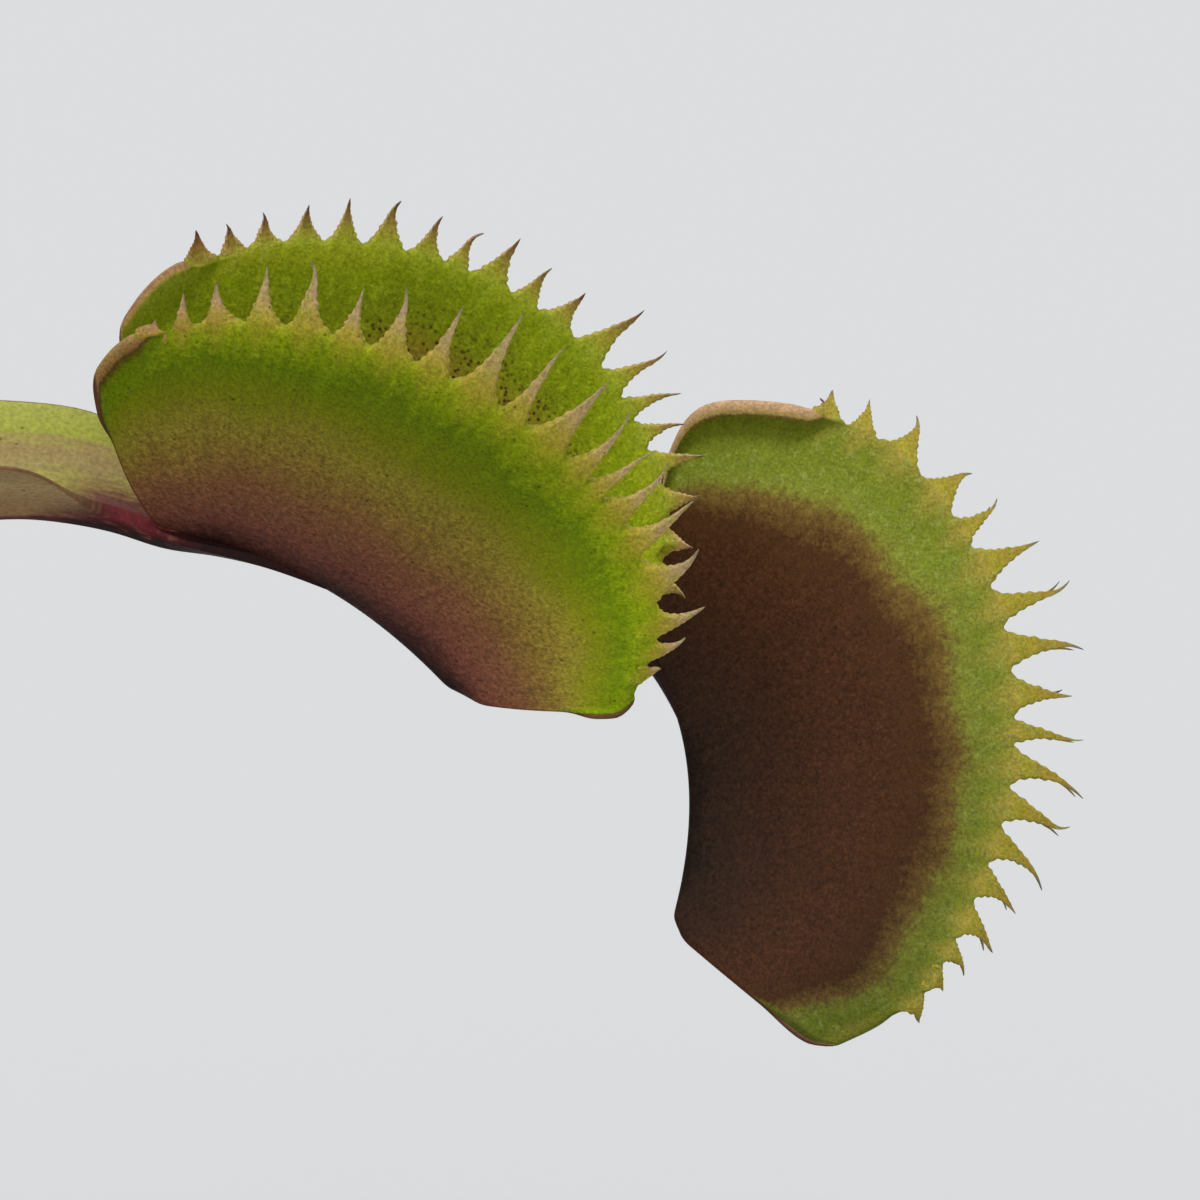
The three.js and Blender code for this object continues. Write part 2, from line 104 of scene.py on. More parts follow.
def add_node(tree, kind, *in_order, out=None, stops=(), **settings):
    """Adds a node and returns one of its outputs, the first unless out names it. Its inputs come in their
    order: a noise has its place, scale, detail and roughness, and a Map Range its value and the two
    limits on either side. A setting is a property or an input, and stops fills a colour ramp."""
    node = tree.nodes.new("ShaderNode" + kind)
    for key in [key for key in settings if hasattr(node, key)]:
        setattr(node, key, settings.pop(key))
    set_inputs(node, *in_order, **settings)
    while stops and len(node.color_ramp.elements) < len(stops):
        node.color_ramp.elements.new(0.5)
    for index, (position, colour) in enumerate(stops):
        element = node.color_ramp.elements[index]
        element.position = position
        element.color = linear(colour) if isinstance(colour, str) else (colour,) * 3 + (1,)
    return node.outputs[out] if out else next(socket for socket in node.outputs if socket.enabled)


def new_material(name):
    """A material with a bare Principled shader, and its node tree."""
    material = bpy.data.materials.new(name)
    material.use_nodes = True
    return material, material.node_tree


def set_surface(tree, height=None, strength=0, depth=0, **inputs):
    """Fills the shader's inputs. A height gives the surface relief, to a depth in mm."""
    if height is not None:
        inputs["Normal"] = add_node(tree, "Bump", Height=height, Strength=strength, Distance=depth * MM)
    set_inputs(tree.nodes["Principled BSDF"], **inputs)
    return inputs.get("Normal")


def let_light_through(tree, share, *colour_and_normal):
    """Mixes the shader with a share of light that shines through from behind."""
    glow = add_node(tree, "BsdfTranslucent", *colour_and_normal)
    mix = add_node(tree, "MixShader", share, tree.nodes["Principled BSDF"].outputs[0], glow)
    set_inputs(tree.nodes["Material Output"], Surface=mix)


def object_millimetres(tree):
    """Object coordinates in millimetres, so that a texture's scale is one over a real size."""
    return add_node(tree, "VectorMath", add_node(tree, "TexCoord", out="Object"), Scale=1 / MM,
                    operation="SCALE")


# %% Floor, sky and lamp
FLOOR_WIDTH = 14.0  # metres
BACKDROP = "#dcdfdf"
SKY_OVERHEAD = 2.2  # how much brighter the sky is overhead than at the horizon

deselect_all()
bpy.ops.mesh.primitive_plane_add(size=FLOOR_WIDTH, location=(0, 0, -0.2 * MM))
floor = bpy.context.object
floor.name = "floor"
paper, tree = new_material("matt_pale_grey_paper")
set_surface(tree, Base_Color=linear("#acacae"), Roughness=1.0, Specular_IOR_Level=0.0)
floor.data.materials.append(paper)

world = bpy.data.worlds.new("even_sky")
bpy.context.scene.world = world
world.use_nodes = True
tree = world.node_tree
up = add_node(tree, "SeparateXYZ", add_node(tree, "TexCoord", out="Generated"), out="Z")
brightness = add_node(tree, "MapRange", up, 0.1, 0.9, 1.0, SKY_OVERHEAD)
set_inputs(tree.nodes["Background"], Color=linear(BACKDROP), Strength=brightness)

deselect_all()
bpy.ops.object.light_add(type="SUN", location=(0, 0, 1))
sun = bpy.context.object
sun.name = "key_softbox"
sun.rotation_mode = "QUATERNION"
sun.rotation_quaternion = Vector((0.35, 0.75, -0.95)).to_track_quat("-Z", "Y")
sun.data.energy = 1.7
sun.data.angle = math.radians(60)
sun.data.color = linear("#fffdf9")[:3]

# %% [markdown]
# ## The plan of the plant
#
# A trap grew as one folded sheet. Its shape is written as a formula, so the fine skin here and the plain
# solid are the same surface: a midrib, an outline for each lobe, and how far the lobe leans away from the
# middle plane at its midrib and at its margin. The teeth of the two large traps are listed one by one,
# because no rule gives their uneven spacing; the other traps' teeth come from a rule and a seeded draw.

# %% Traps and leaves
# chord, rise and skew give the midrib and margin the outline, in mm. fold and curl are the lean in degrees
# at the midrib and at the margin, each at the stalk end, the middle and the far end.
BROAD_TRAP = {
    "chord": 15.1, "rise": 1.5, "skew": 0.9, "end_bow": (0.05, 0), "fold": (33, 41, 34), "curl": (2, 12, 5),
    "margin": [(-6.6, 6.8), (-5.9, 10.5), (-1.8, 14.7), (5.1, 17.4), (13, 16.9), (19.8, 12.1), (21.7, 5.4)],
}
LONG_TRAP = {
    "chord": 16.7, "rise": 2.5, "skew": 1.2, "end_bow": (-0.09, 0), "fold": (32, 28, 31), "curl": (2, 1, 2),
    "margin": [(-4.9, 5), (-7.7, 8), (-4.2, 15.8), (4.3, 19.3), (13.5, 18), (21.6, 12.8), (23.4, 9.8),
               (24.3, 6.3)],
}
FRONT_RIGHT_TEETH = {
    "start": [3.4, 4.9, 6.4, 8.4, 10.4, 12.5, 14.3, 16.4, 18.3, 20.7, 22.3, 24.6, 26.1, 27.2, 29, 30.8,
              33.7, 35.7, 37.3],
    "length": [0.5, 1.3, 1.8, 2.4, 3, 2.3, 3, 3.2, 3.8, 3.6, 3.9, 3.2, 2.9, 3.1, 3.2, 2.5, 2.2, 1.5, 0.8],
    "end": 38.8, "slant": (6, -14),
}
FRONT_LEFT_TEETH = {
    "start": [4.3, 5.6, 7.1, 8.7, 10.7, 12.4, 14.6, 16.4, 17.8, 20, 21.7, 23.8, 26, 27.6, 29, 30.4, 32.1,
              34, 36],
    "length": [1.7, 1.6, 1.7, 1.9, 2.3, 2.5, 2.2, 2.1, 2.6, 2.1, 2.1, 3.5, 3.1, 2.7, 2.2, 2.7, 1.9, 1.4,
               1.5],
    "end": 37.9, "slant": (5, 2),
}
REAR_TEETH = {
    "start": [9.3, 10.9, 12.7, 15.4, 18, 19.6, 22, 23.9, 26.1, 28.3, 29.7, 31.6, 33.6, 35.5, 37.5, 39.5,
              40.9, 42.5],
    "length": [1.6, 1.7, 2.2, 2.1, 2.4, 3.2, 4, 3.9, 3.1, 3.7, 4, 3.7, 3.3, 2.5, 2.3, 1.4, 0.8, 1.3],
    "end": 44.2, "slant": (-25, 75),
}
RHIZOME = {"radius": 9.0, "centre": 67.0, "foot": 55.0, "foot_radius": 5.0}
# rows is how many rows a lobe of the plain solid has, lip how fast the rolled lip ends at the two ends, and
# corners the radii of a lobe's corners. A stalk leaves its base (azimuth, angle from the vertical) straight
# for root_reach, and goes by its bend to the trap's tip of the midrib.
LEAVES = [
    {
        "trap": BROAD_TRAP, "scale": 1, "openness": 1, "rows": 5, "lip": (30, 5), "corners": (0.6, 0.9, 1.3),
        "teeth": {-1: FRONT_RIGHT_TEETH, 1: FRONT_LEFT_TEETH},
        "base": (-24, 30), "root_reach": 44, "bend": (44, -4, 128), "tip": (58.7, -0.8, 121),
        "wing": 6, "wing_peak": 0.88, "wing_drop": 0.5, "petiole_roll": -10,
        "heading": 4.5, "pitch": -31, "roll": -14.5,
    },
    {
        "trap": LONG_TRAP, "scale": 1, "openness": 1, "rows": 5, "lip": (1, 3), "corners": (0.6, 1.7, 1.0),
        "teeth": {-1: REAR_TEETH, 1: REAR_TEETH},
        "base": (27, 30), "root_reach": 46, "bend": (52, 16.5, 131), "tip": (77.7, 12.1, 115.8),
        "wing": 4.2, "wing_peak": 0.45, "wing_drop": 0.8, "petiole_roll": 0,
        "heading": -48.1, "pitch": -71.2, "roll": 46.3,
    },
]
# each: base azimuth and angle from the vertical, reach, height, end pitch, scale, pitch, roll, openness
SHORT_LEAVES = [
    (67, 44, 49, 101, -14, 0.8, -20, 8, 1.25),
    (105, 33, 43, 121, -4, 0.86, -26, -14, 0.95),
    (138, 52, 59, 91, -8, 0.74, -10, 10, 1.45),
    (176, 29, 38, 125, 6, 0.8, -30, 16, 0.7),
    (216, 50, 57, 96, -12, 0.84, -15, -10, 1.35),
    (254, 36, 46, 112, -8, 0.78, -22, 6, 1.1),
    (296, 48, 45, 90, 0, 0.6, -4, -6, 1.3),
    (200, 5, 5, 104, 62, 0.36, 50, 0, 0.85),
]


def bearing(azimuth):
    """The level direction at an angle in radians."""
    return np.array([math.cos(azimuth), math.sin(azimuth), 0])


for azimuth, lean, reach, height, end_pitch, scale, pitch, roll, openness in SHORT_LEAVES:
    outward = bearing(math.radians(azimuth))
    tip = outward * reach + (0, 0, height)
    end_rise = math.radians(end_pitch)
    bend = tip - (0.42 * reach + 6) * (outward * math.cos(end_rise) + (0, 0, math.sin(end_rise)))
    LEAVES.append({
        "trap": BROAD_TRAP if len(LEAVES) % 2 == 0 else LONG_TRAP, "scale": scale, "openness": openness,
        "rows": 3, "lip": (3, 4), "corners": (scale, scale, scale), "teeth": None,
        "base": (azimuth, lean), "root_reach": 0.45 * (height - RHIZOME["centre"]), "bend": bend, "tip": tip,
        "wing": 7 * scale, "wing_peak": 0.74, "wing_drop": 1.4, "petiole_roll": 0,
        "heading": azimuth, "pitch": pitch, "roll": roll,
    })
print("leaves:", len(LEAVES))

# %% The lobe formula


def through(values, t):
    """A value at fraction t from its values at the start, the middle and the end."""
    a, b, c = values
    return a * (1 - t) * (1 - 2 * t) + b * 4 * t * (1 - t) + c * t * (2 * t - 1)


def smooth_line(points, per_span=80):
    """A fine polyline of the curve that passes smoothly through the points."""
    p = np.array(points, float)
    pieces = []
    for i in range(len(p) - 1):
        before, here, there, after = p[max(i - 1, 0)], p[i], p[i + 1], p[min(i + 2, len(p) - 1)]
        t = np.linspace(0, 1, per_span, endpoint=False)[:, None]
        leave = (there - before) / 2
        arrive = (after - here) / 2
        pieces.append((2 * here - 2 * there + leave + arrive) * t ** 3
                      + (3 * there - 3 * here - 2 * leave - arrive) * t ** 2 + leave * t + here)
    return np.vstack(pieces + [p[-1:]])


def unit(vectors):
    return vectors / np.linalg.norm(vectors, axis=-1, keepdims=True)


def step_lengths(points):
    return np.linalg.norm(np.diff(points, axis=0), axis=1)


def same_shape(*arrays):
    return np.broadcast_arrays(*(np.asarray(a, float) for a in arrays))


class LobeSurface:
    """Both lobes of a trap as one formula, in the trap's own frame: x along the midrib, z out of the
    mouth, and y towards the left lobe."""

    curl_with_opening = 30  # degrees that the margins turn outwards from a shut to a normal trap
    step = 1e-3  # a small step along the surface, for its directions

    def __init__(self, leaf):
        self.shape = leaf["trap"]
        self.scale = leaf["scale"]
        self.fold = [angle * leaf["openness"] for angle in self.shape["fold"]]
        extra = self.curl_with_opening * (leaf["openness"] - 1)
        self.curl = [angle + extra for angle in self.shape["curl"]]
        self.edge = smooth_line(self.shape["margin"]) * self.scale
        self.travel = np.concatenate([[0], np.cumsum(step_lengths(self.edge))])
        self.length = self.travel[-1]

    def margin(self, w):
        """The margin at the fraction w of its length, in the lobe's own plane."""
        at = np.clip(w, 0, 1) * self.length
        return np.stack([np.interp(at, self.travel, self.edge[:, k]) for k in (0, 1)], -1)

    def point(self, side, u, w, v):
        """The surface from the midrib at u (v = 0) to the margin at w (v = 1)."""
        side, u, w, v = same_shape(side, u, w, v)
        shape = self.shape
        arch = shape["rise"] * 4 * u * (1 - u) + shape["skew"] * u * (1 - u) * (1 - 2 * u)
        foot = np.stack([shape["chord"] * u, arch], -1) * self.scale
        across = self.margin(w) - foot
        height = np.linalg.norm(across, axis=-1)
        along = across / height[..., None]
        lean = np.radians(through(self.fold, u))
        turn = np.radians(through(self.curl, u)) - lean
        rise = (np.sin(lean + turn * v) - np.sin(lean)) / turn
        spread = (np.cos(lean) - np.cos(lean + turn * v)) / turn
        bow = (shape["end_bow"][0] * (1 - u) ** 3 + shape["end_bow"][1] * u ** 3) * 4 * v * (1 - v)
        return np.stack([foot[..., 0] + height * (rise * along[..., 0] - bow * along[..., 1]),
                         side * height * spread,
                         foot[..., 1] + height * (rise * along[..., 1] + bow * along[..., 0])], -1)

    def onward(self, side, u, w, v):
        """A short step along the surface, from the stalk end towards the far end."""
        return self.point(side, u + self.step, w + self.step, v) - self.point(
            side, u - self.step, w - self.step, v)

    def inward(self, side, u, w, v):
        """The direction from the outer skin into the mouth."""
        side, u, w, v = same_shape(side, u, w, v)
        up = self.point(side, u, w, np.minimum(v + self.step, 1)) - self.point(side, u, w, v - self.step)
        return unit(np.cross(self.onward(side, u, w, v), up) * side[..., None])


def trap_place(leaf):
    """The turn and shift from the trap's own frame to the plant's, as a 3x3 matrix and a point."""
    heading, pitch, roll = (math.radians(leaf[k]) for k in ("heading", "pitch", "roll"))
    forward = math.cos(pitch) * bearing(heading) + (0, 0, math.sin(pitch))
    left = np.array([-math.sin(heading), math.cos(heading), 0])
    up = np.cross(forward, left)
    turned_left = left * math.cos(roll) - up * math.sin(roll)
    turned_up = left * math.sin(roll) + up * math.cos(roll)
    return np.stack([forward, turned_left, turned_up]), np.array(leaf["tip"])


print("front trap margin, mm:", round(LobeSurface(LEAVES[0]).length, 1))

# %% Teeth by rule for the smaller traps
SMALL_TRAP_TEETH = 12
UNEVEN = 0.12  # of a tooth's pitch and of its length


def jitter_row(seed):
    """A repeatable row of numbers between -1 and 1."""
    state = seed
    while True:
        state = (state * 16807) % 2147483647
        yield state / 2147483647 * 2 - 1


tooth_jitter = jitter_row(11)


def even_teeth(length, scale):
    """Teeth along a margin: short at both ends, and uneven by the seeded row."""
    first, end = 0.12 * length, 0.95 * length
    pitch = (end - first) / SMALL_TRAP_TEETH
    teeth = {"start": [], "length": [], "end": end, "slant": (5, -8)}
    for i in range(SMALL_TRAP_TEETH):
        teeth["start"].append(first + pitch * (i + (UNEVEN * next(tooth_jitter) if i else 0)))
        tall = scale * (1.3 + 2.6 * math.sin(math.pi * (i + 0.6) / SMALL_TRAP_TEETH))
        teeth["length"].append(tall * (1 + UNEVEN * next(tooth_jitter)))
    return teeth


for leaf in LEAVES[2:]:
    length = LobeSurface(leaf).length
    left = even_teeth(length, leaf["scale"])
    leaf["teeth"] = {1: left, -1: even_teeth(length, leaf["scale"])}
print("teeth in all:", sum(len(leaf["teeth"][side]["start"]) for leaf in LEAVES for side in (-1, 1)))

# %% [markdown]
# ## Mesh helpers
#
# A leaf is a sheet, so every leaf piece starts as a grid primitive. Its points are moved by the formula
# above, and a few numbers are kept on each point as attributes, such as how far it is from the midrib. The
# extrusions copy them, so a new point knows where it came from, and the materials read them later.

# %% Sheets and attributes


def make_active(obj):
    deselect_all()
    obj.select_set(True)
    bpy.context.view_layer.objects.active = obj


def read_points(obj):
    flat = np.empty(len(obj.data.vertices) * 3, np.float32)
    obj.data.vertices.foreach_get("co", flat)
    return flat.reshape(-1, 3).astype(float) / MM


def write_points(obj, points):
    obj.data.vertices.foreach_set("co", (np.asarray(points) * MM).astype(np.float32).ravel())
    obj.data.update()


def read_layer(obj, name):
    layer = obj.data.attributes[name].data
    flat = np.empty(len(layer), np.float32)
    layer.foreach_get("value", flat)
    return flat.astype(float)


def write_layers(obj, layers):
    """Keeps rows of numbers on the points, each under its name."""
    attributes = obj.data.attributes
    for name, values in layers.items():
        layer = attributes.get(name) or attributes.new(name, "FLOAT", "POINT")
        layer.data.foreach_set("value", np.asarray(values, np.float32).ravel())


def grid_sheet(name, columns, rows):
    """A flat grid and, for each of its points, the column and the row."""
    deselect_all()
    bpy.ops.mesh.primitive_grid_add(x_subdivisions=columns - 1, y_subdivisions=rows - 1, size=2)
    sheet = bpy.context.object
    sheet.name = sheet.data.name = name
    at = read_points(sheet) * MM
    column, row = (np.rint((at[:, k] + 1) / 2 * (count - 1)).astype(int)
                   for k, count in enumerate((columns, rows)))
    return sheet, column, row


def face_away(sheet):
    """Turns a grid's normals over, so that Solidify builds the body on the other side of it."""
    make_active(sheet)
    bpy.ops.object.mode_set(mode="EDIT")
    bpy.context.tool_settings.mesh_select_mode = (False, False, True)
    bpy.ops.mesh.select_all(action="SELECT")
    bpy.ops.mesh.flip_normals()
    bpy.ops.object.mode_set(mode="OBJECT")


def apply_modifiers(obj):
    make_active(obj)
    for name in [modifier.name for modifier in obj.modifiers]:
        bpy.ops.object.modifier_apply(modifier=name)
    obj.vertex_groups.clear()


def thicken(sheet, most, thickness):
    """Gives the sheet a thickness, in mm, on the side away from its normals, and rounds it all off."""
    group = sheet.vertex_groups.new(name="thickness")
    share = np.clip(np.asarray(thickness) / most, 0, 1)
    for index, weight in enumerate(share):
        group.add([index], float(weight), "REPLACE")
    solid = sheet.modifiers.new("thickness", "SOLIDIFY")
    solid.thickness = most * MM
    solid.offset = -1
    solid.vertex_group = "thickness"
    solid.use_quality_normals = True
    solid.material_offset = 1
    solid.material_offset_rim = 0
    smooth = sheet.modifiers.new("smooth", "SUBSURF")
    smooth.levels = smooth.render_levels = 1
    apply_modifiers(sheet)


def finish_piece(obj, slot, *nodes, crease=None):
    """Smooth shading up to a crease in degrees, the ride on the plant, and the solids that the piece stands
    for. slot, a material slot's name, is not used."""
    make_active(obj)
    bpy.ops.object.shade_smooth()
    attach(obj, "root")
    if nodes:
        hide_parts(*nodes)
    if crease:
        bpy.ops.object.shade_smooth_by_angle(angle=math.radians(crease))
    deselect_all()


# %% Copies


def join(objects, name):
    """Makes one piece of several objects."""
    deselect_all()
    for obj in objects:
        obj.select_set(True)
    bpy.context.view_layer.objects.active = objects[0]
    bpy.ops.object.join()
    piece = bpy.context.object
    piece.name = piece.data.name = name
    return piece


def scatter(name, template, places, tints, material):
    """One piece made of copies of the template, each copy with its own mesh, place and tint."""
    copies = []
    for place, tint in zip(places, tints):
        copy = template.copy()
        copy.data = template.data.copy()
        copy.data.transform(place)
        write_layers(copy, {"tint": np.full(len(copy.data.vertices), tint)})
        bpy.context.collection.objects.link(copy)
        copies.append(copy)
    bpy.data.objects.remove(template)
    piece = join(copies, name)
    piece.data.materials.append(material)
    print(name, len(copies), "copies,", len(piece.data.polygons), "faces")
    return piece


def placed(point, turn, size):
    """The matrix that scales, then turns, then moves to a point in mm."""
    return Matrix.Translation(Vector(point) * MM) @ turn.to_4x4() @ Matrix.Diagonal((*size, 1.0))


# %% [markdown]
# ## Traps
#
# A real trap is one folded leaf blade well under a millimetre thick, thicker at the midrib and thin at its
# ends. The blade is the grid, bent by the lobe formula. The teeth are grown from its margin the way one
# would by hand: the edge of each tooth's base is selected and extruded again and again, and every new row
# is drawn in towards the tip. Neighbouring teeth may share no points above the margin, so the even teeth
# are extruded first and the odd ones after them. Each row's ends are shifted a little at random, which
# gives the ragged flanks. Solidify then makes the inner skin, and one subdivision rounds everything.

# %% Tooth rows
TOOTH_LEAN = 18  # degrees towards the other lobe
SHEET = 0.7  # mm, the blade's thickness
KEEL = 1.2  # mm, the thickness at the midrib
CROWDED = 1.15  # the power that brings the blade's rows closer together at the midrib


def valley_places(leaf, surface, side):
    """Where the cells of a margin end, in mm: two without a tooth, one for each tooth, and a last one."""
    teeth = leaf["teeth"][side]
    return [0, 0.5 * teeth["start"][0], *teeth["start"], teeth["end"], surface.length]


def tooth_frames(surface, leaf, side):
    """For each tooth of a lobe: the middle of its base, the way it grows and the way into the mouth."""
    teeth = leaf["teeth"][side]
    valleys = {s: np.array(valley_places(leaf, surface, s)) / surface.length for s in (-1, 1)}
    midrib = 0.5 * (valleys[-1] + valleys[1])
    row_in = ((leaf["rows"] - 1) / leaf["rows"]) ** CROWDED
    margin = surface.point(side, midrib, valleys[side], 1.0)
    inner_row = surface.point(side, midrib, valleys[side], row_in)
    inward = surface.inward(side, midrib, valleys[side], 1.0)
    frames = []
    for i, length in enumerate(teeth["length"], 2):
        along = unit(margin[i + 1] - margin[i])
        into_mouth = unit(inward[i] + inward[i + 1])
        base = 0.5 * (margin[i] + margin[i + 1])
        from_row = 0.5 * (inner_row[i] + inner_row[i + 1])
        out, blade = (unit(way - way.dot(along) * along)
                      for way in (base + 0.5 * SHEET * into_mouth - from_row, base - from_row))
        slant = math.radians(teeth["slant"][0] + teeth["slant"][1] * i / len(valleys[side]))
        lean = math.radians(TOOTH_LEAN * min(1, leaf["openness"]))
        way = (out * math.cos(lean) * math.cos(slant) + into_mouth * math.sin(lean)
               + along * math.cos(lean) * math.sin(slant))
        frames.append({"base": base, "way": way, "blade": blade, "into_mouth": into_mouth, "along": along,
                       "length": length})
    return frames


def tooth_width(rho):
    """A tooth's width at the fraction rho of its length: a broad concave foot, then a thin spike."""
    return 0.1 * (1 - rho) ** 0.4 + 0.9 * (1 - rho ** 0.72) ** 1.6


def tooth_thickness(rho):
    return SHEET * (0.12 + 0.88 * (1 - rho) ** 1.3)


# %% One blade
LIP = {"reach": 0.9, "height": 0.22, "flare": 0.35}  # mm


def margin_stations(leaf, surface, side, per_cell):
    """The fractions of the margin's length where the columns of the grid meet it."""
    valleys = valley_places(leaf, surface, side)
    fine = [a + (b - a) * j / per_cell for a, b in zip(valleys, valleys[1:]) for j in range(per_cell)]
    return np.array(fine + [surface.length]) / surface.length


def make_blade(name, leaf, surface, per_cell, lobe_rows):
    """The two lobes as one bent grid, with the attributes that teeth and materials read."""
    stations = {side: margin_stations(leaf, surface, side, per_cell) for side in (-1, 1)}
    columns = len(stations[1])
    sheet, column, row = grid_sheet(name, columns, 2 * lobe_rows + 1)
    across = (row - lobe_rows) / lobe_rows
    side = np.where(across < 0, -1.0, 1.0)
    v = np.abs(across) ** CROWDED
    w = np.where(side < 0, stations[-1][column], stations[1][column])
    u = 0.5 * (stations[-1][column] + stations[1][column])
    at = surface.point(side, u, w, v)
    foot = surface.point(side, u, w, 0.0)
    below_margin = (1 - v) * np.linalg.norm(surface.point(side, u, w, 1.0) - foot, axis=1)
    lattice = np.zeros((columns, 2 * lobe_rows + 1, 3))
    lattice[column, row] = at
    run = np.linalg.norm(np.diff(lattice, axis=0), axis=2)
    from_start = np.concatenate([np.zeros((1, run.shape[1])), np.cumsum(run, axis=0)])
    to_stalk, to_far = from_start[column, row], (from_start[-1] - from_start)[column, row]
    # the rolled lip runs along the margin where it has no teeth, and down both ends
    right, left = leaf["teeth"][-1], leaf["teeth"][1]
    first = np.where(side < 0, right["start"][0], left["start"][0])
    last = np.where(side < 0, right["end"], left["end"])
    on_margin = w * surface.length
    toothless = np.minimum(np.maximum(on_margin - first, 0), 1.5 + np.maximum(last - on_margin, 0))
    ends = [run / leaf["scale"] * narrow + 8 * np.maximum(0.75 - v, 0)
            for run, narrow in zip((to_stalk, to_far), leaf["lip"])]
    from_lip = np.minimum(below_margin + toothless, np.minimum(*ends))
    roll = np.clip(1 - from_lip / LIP["reach"], 0, 1) ** 2 * leaf["scale"]
    down = -unit(at - foot + 1e-9)
    at -= (down * LIP["height"] + surface.inward(side, u, w, v) * LIP["flare"]) * roll[:, None]
    # the corners of a lobe are round: the radii are at the stalk end, at the far end and under the far end
    down = -unit(at - foot + 1e-9)
    onward = unit(surface.onward(side, u, w, v))
    tall = below_margin / np.maximum(1 - v, 1e-6) * v
    for radius, to_end, to_edge, way_in, way_off in zip(
            leaf["corners"], (to_stalk, to_far, to_far), (below_margin, below_margin, tall),
            (onward, -onward, -onward), (down, down, np.array([0, 0, 1.0]))):
        a = np.clip(1 - to_end / radius, 0, 1)
        b = np.clip(1 - to_edge / radius, 0, 1)
        at += (radius * a * (1 - np.sqrt(1 - b * b / 2)))[:, None] * way_in
        at += (radius * b * (1 - np.sqrt(1 - a * a / 2)))[:, None] * way_off
    write_points(sheet, at)
    write_layers(sheet, {
        "lip": from_lip, "column": column, "side": side, "rise": v, "along": w,
        "valley": np.abs(2 * (column % per_cell) / per_cell - 1),
        "from_stalk_end": to_stalk, "from_far_end": to_far,
    })
    return sheet


# %% Grown teeth
SPUR = 0.15  # mm, how far the tiny spurs on a tooth's flanks stand out


def read_blade(sheet):
    """Each point's place, its column in the grid and its lobe."""
    column, side = read_layer(sheet, "column"), read_layer(sheet, "side")
    return read_points(sheet), np.rint(column).astype(int), np.sign(side).astype(int)


def select_margin(sheet, column, per_cell, cells, parity):
    """Selects the margin's edges that lie in every other cell, and returns their points."""
    margin = np.isclose(read_layer(sheet, "rise"), 1.0, atol=1e-4)
    pairs = np.empty(len(sheet.data.edges) * 2, np.int32)
    sheet.data.edges.foreach_get("vertices", pairs)
    pairs = pairs.reshape(-1, 2)
    cell = np.minimum(column[pairs[:, 0]], column[pairs[:, 1]]) // per_cell
    chosen = margin[pairs].all(axis=1) & (column[pairs[:, 0]] != column[pairs[:, 1]])
    chosen &= (cell >= cells[0]) & (cell < cells[1]) & (cell % 2 == parity)
    points = np.zeros(len(sheet.data.vertices), bool)
    points[pairs[chosen].ravel()] = True
    sheet.data.polygons.foreach_set("select", np.zeros(len(sheet.data.polygons), bool))
    sheet.data.edges.foreach_set("select", chosen)
    sheet.data.vertices.foreach_set("select", points)
    return np.unique(pairs[chosen])


def grow_teeth(sheet, leaf, surface, per_cell, rings, rng):
    """Extrudes the teeth of both lobes row by row."""
    bpy.context.tool_settings.mesh_select_mode = (False, True, False)
    count = len(leaf["teeth"][1]["start"])
    frames = {side: tooth_frames(surface, leaf, side) for side in (-1, 1)}
    shape = {side: [{"bend": rng.normal(0, 0.04, 2), "hook": rng.normal(0, 0.8, 2),
                     "spurs": rng.uniform(0.3, 1.0, (rings + 1, 2))} for _ in range(count)]
             for side in (-1, 1)}
    for parity in (0, 1):
        make_active(sheet)
        at, column, side = read_blade(sheet)
        edges = select_margin(sheet, column, per_cell, (2, 2 + count), parity)
        foot = {(side[k], column[k]): at[k] for k in edges}
        for ring in range(1, rings + 1):
            rho = ring / rings
            bpy.ops.object.mode_set(mode="EDIT")
            bpy.ops.mesh.extrude_region_move()
            bpy.ops.object.mode_set(mode="OBJECT")
            picked = np.zeros(len(sheet.data.vertices), bool)
            sheet.data.vertices.foreach_get("select", picked)
            at, column, side = read_blade(sheet)
            rise = read_layer(sheet, "rise")
            for k in np.flatnonzero(picked):
                # a column between two cells belongs to the cell of this parity
                cell = column[k] // per_cell
                if cell % 2 != parity or cell >= 2 + count:
                    cell -= 1
                tooth = cell - 2
                share = (column[k] - cell * per_cell) / per_cell
                plan, own = frames[side[k]][tooth], shape[side[k]][tooth]
                bend = own["bend"] * rho ** 2 + own["hook"] * max(0, rho - 0.7) ** 2
                bend = plan["length"] * (bend[0] * plan["along"] + bend[1] * plan["into_mouth"])
                path = plan["blade"] * rho * (1 - rho) + plan["way"] * rho ** 2
                centre = plan["base"] + path * plan["length"] + bend
                lift = 0.5 * (SHEET - tooth_thickness(rho)) * plan["into_mouth"]
                at[k] = centre + (foot[side[k], column[k]] - plan["base"]) * tooth_width(rho) + lift
                edge = (2 * share - 1) ** 3 * np.clip(2.5 * (0.86 - rho), 0, 1)
                flank = int(share > 0.5)
                spur = SPUR * leaf["scale"] * (own["spurs"][ring, flank] if (ring + tooth) % 2 else -0.7)
                at[k] += edge * spur * plan["along"] + abs(edge) * spur * 0.6 * plan["way"]
                rise[k] = 1 + rho
            write_points(sheet, at)
            write_layers(sheet, {"rise": rise})


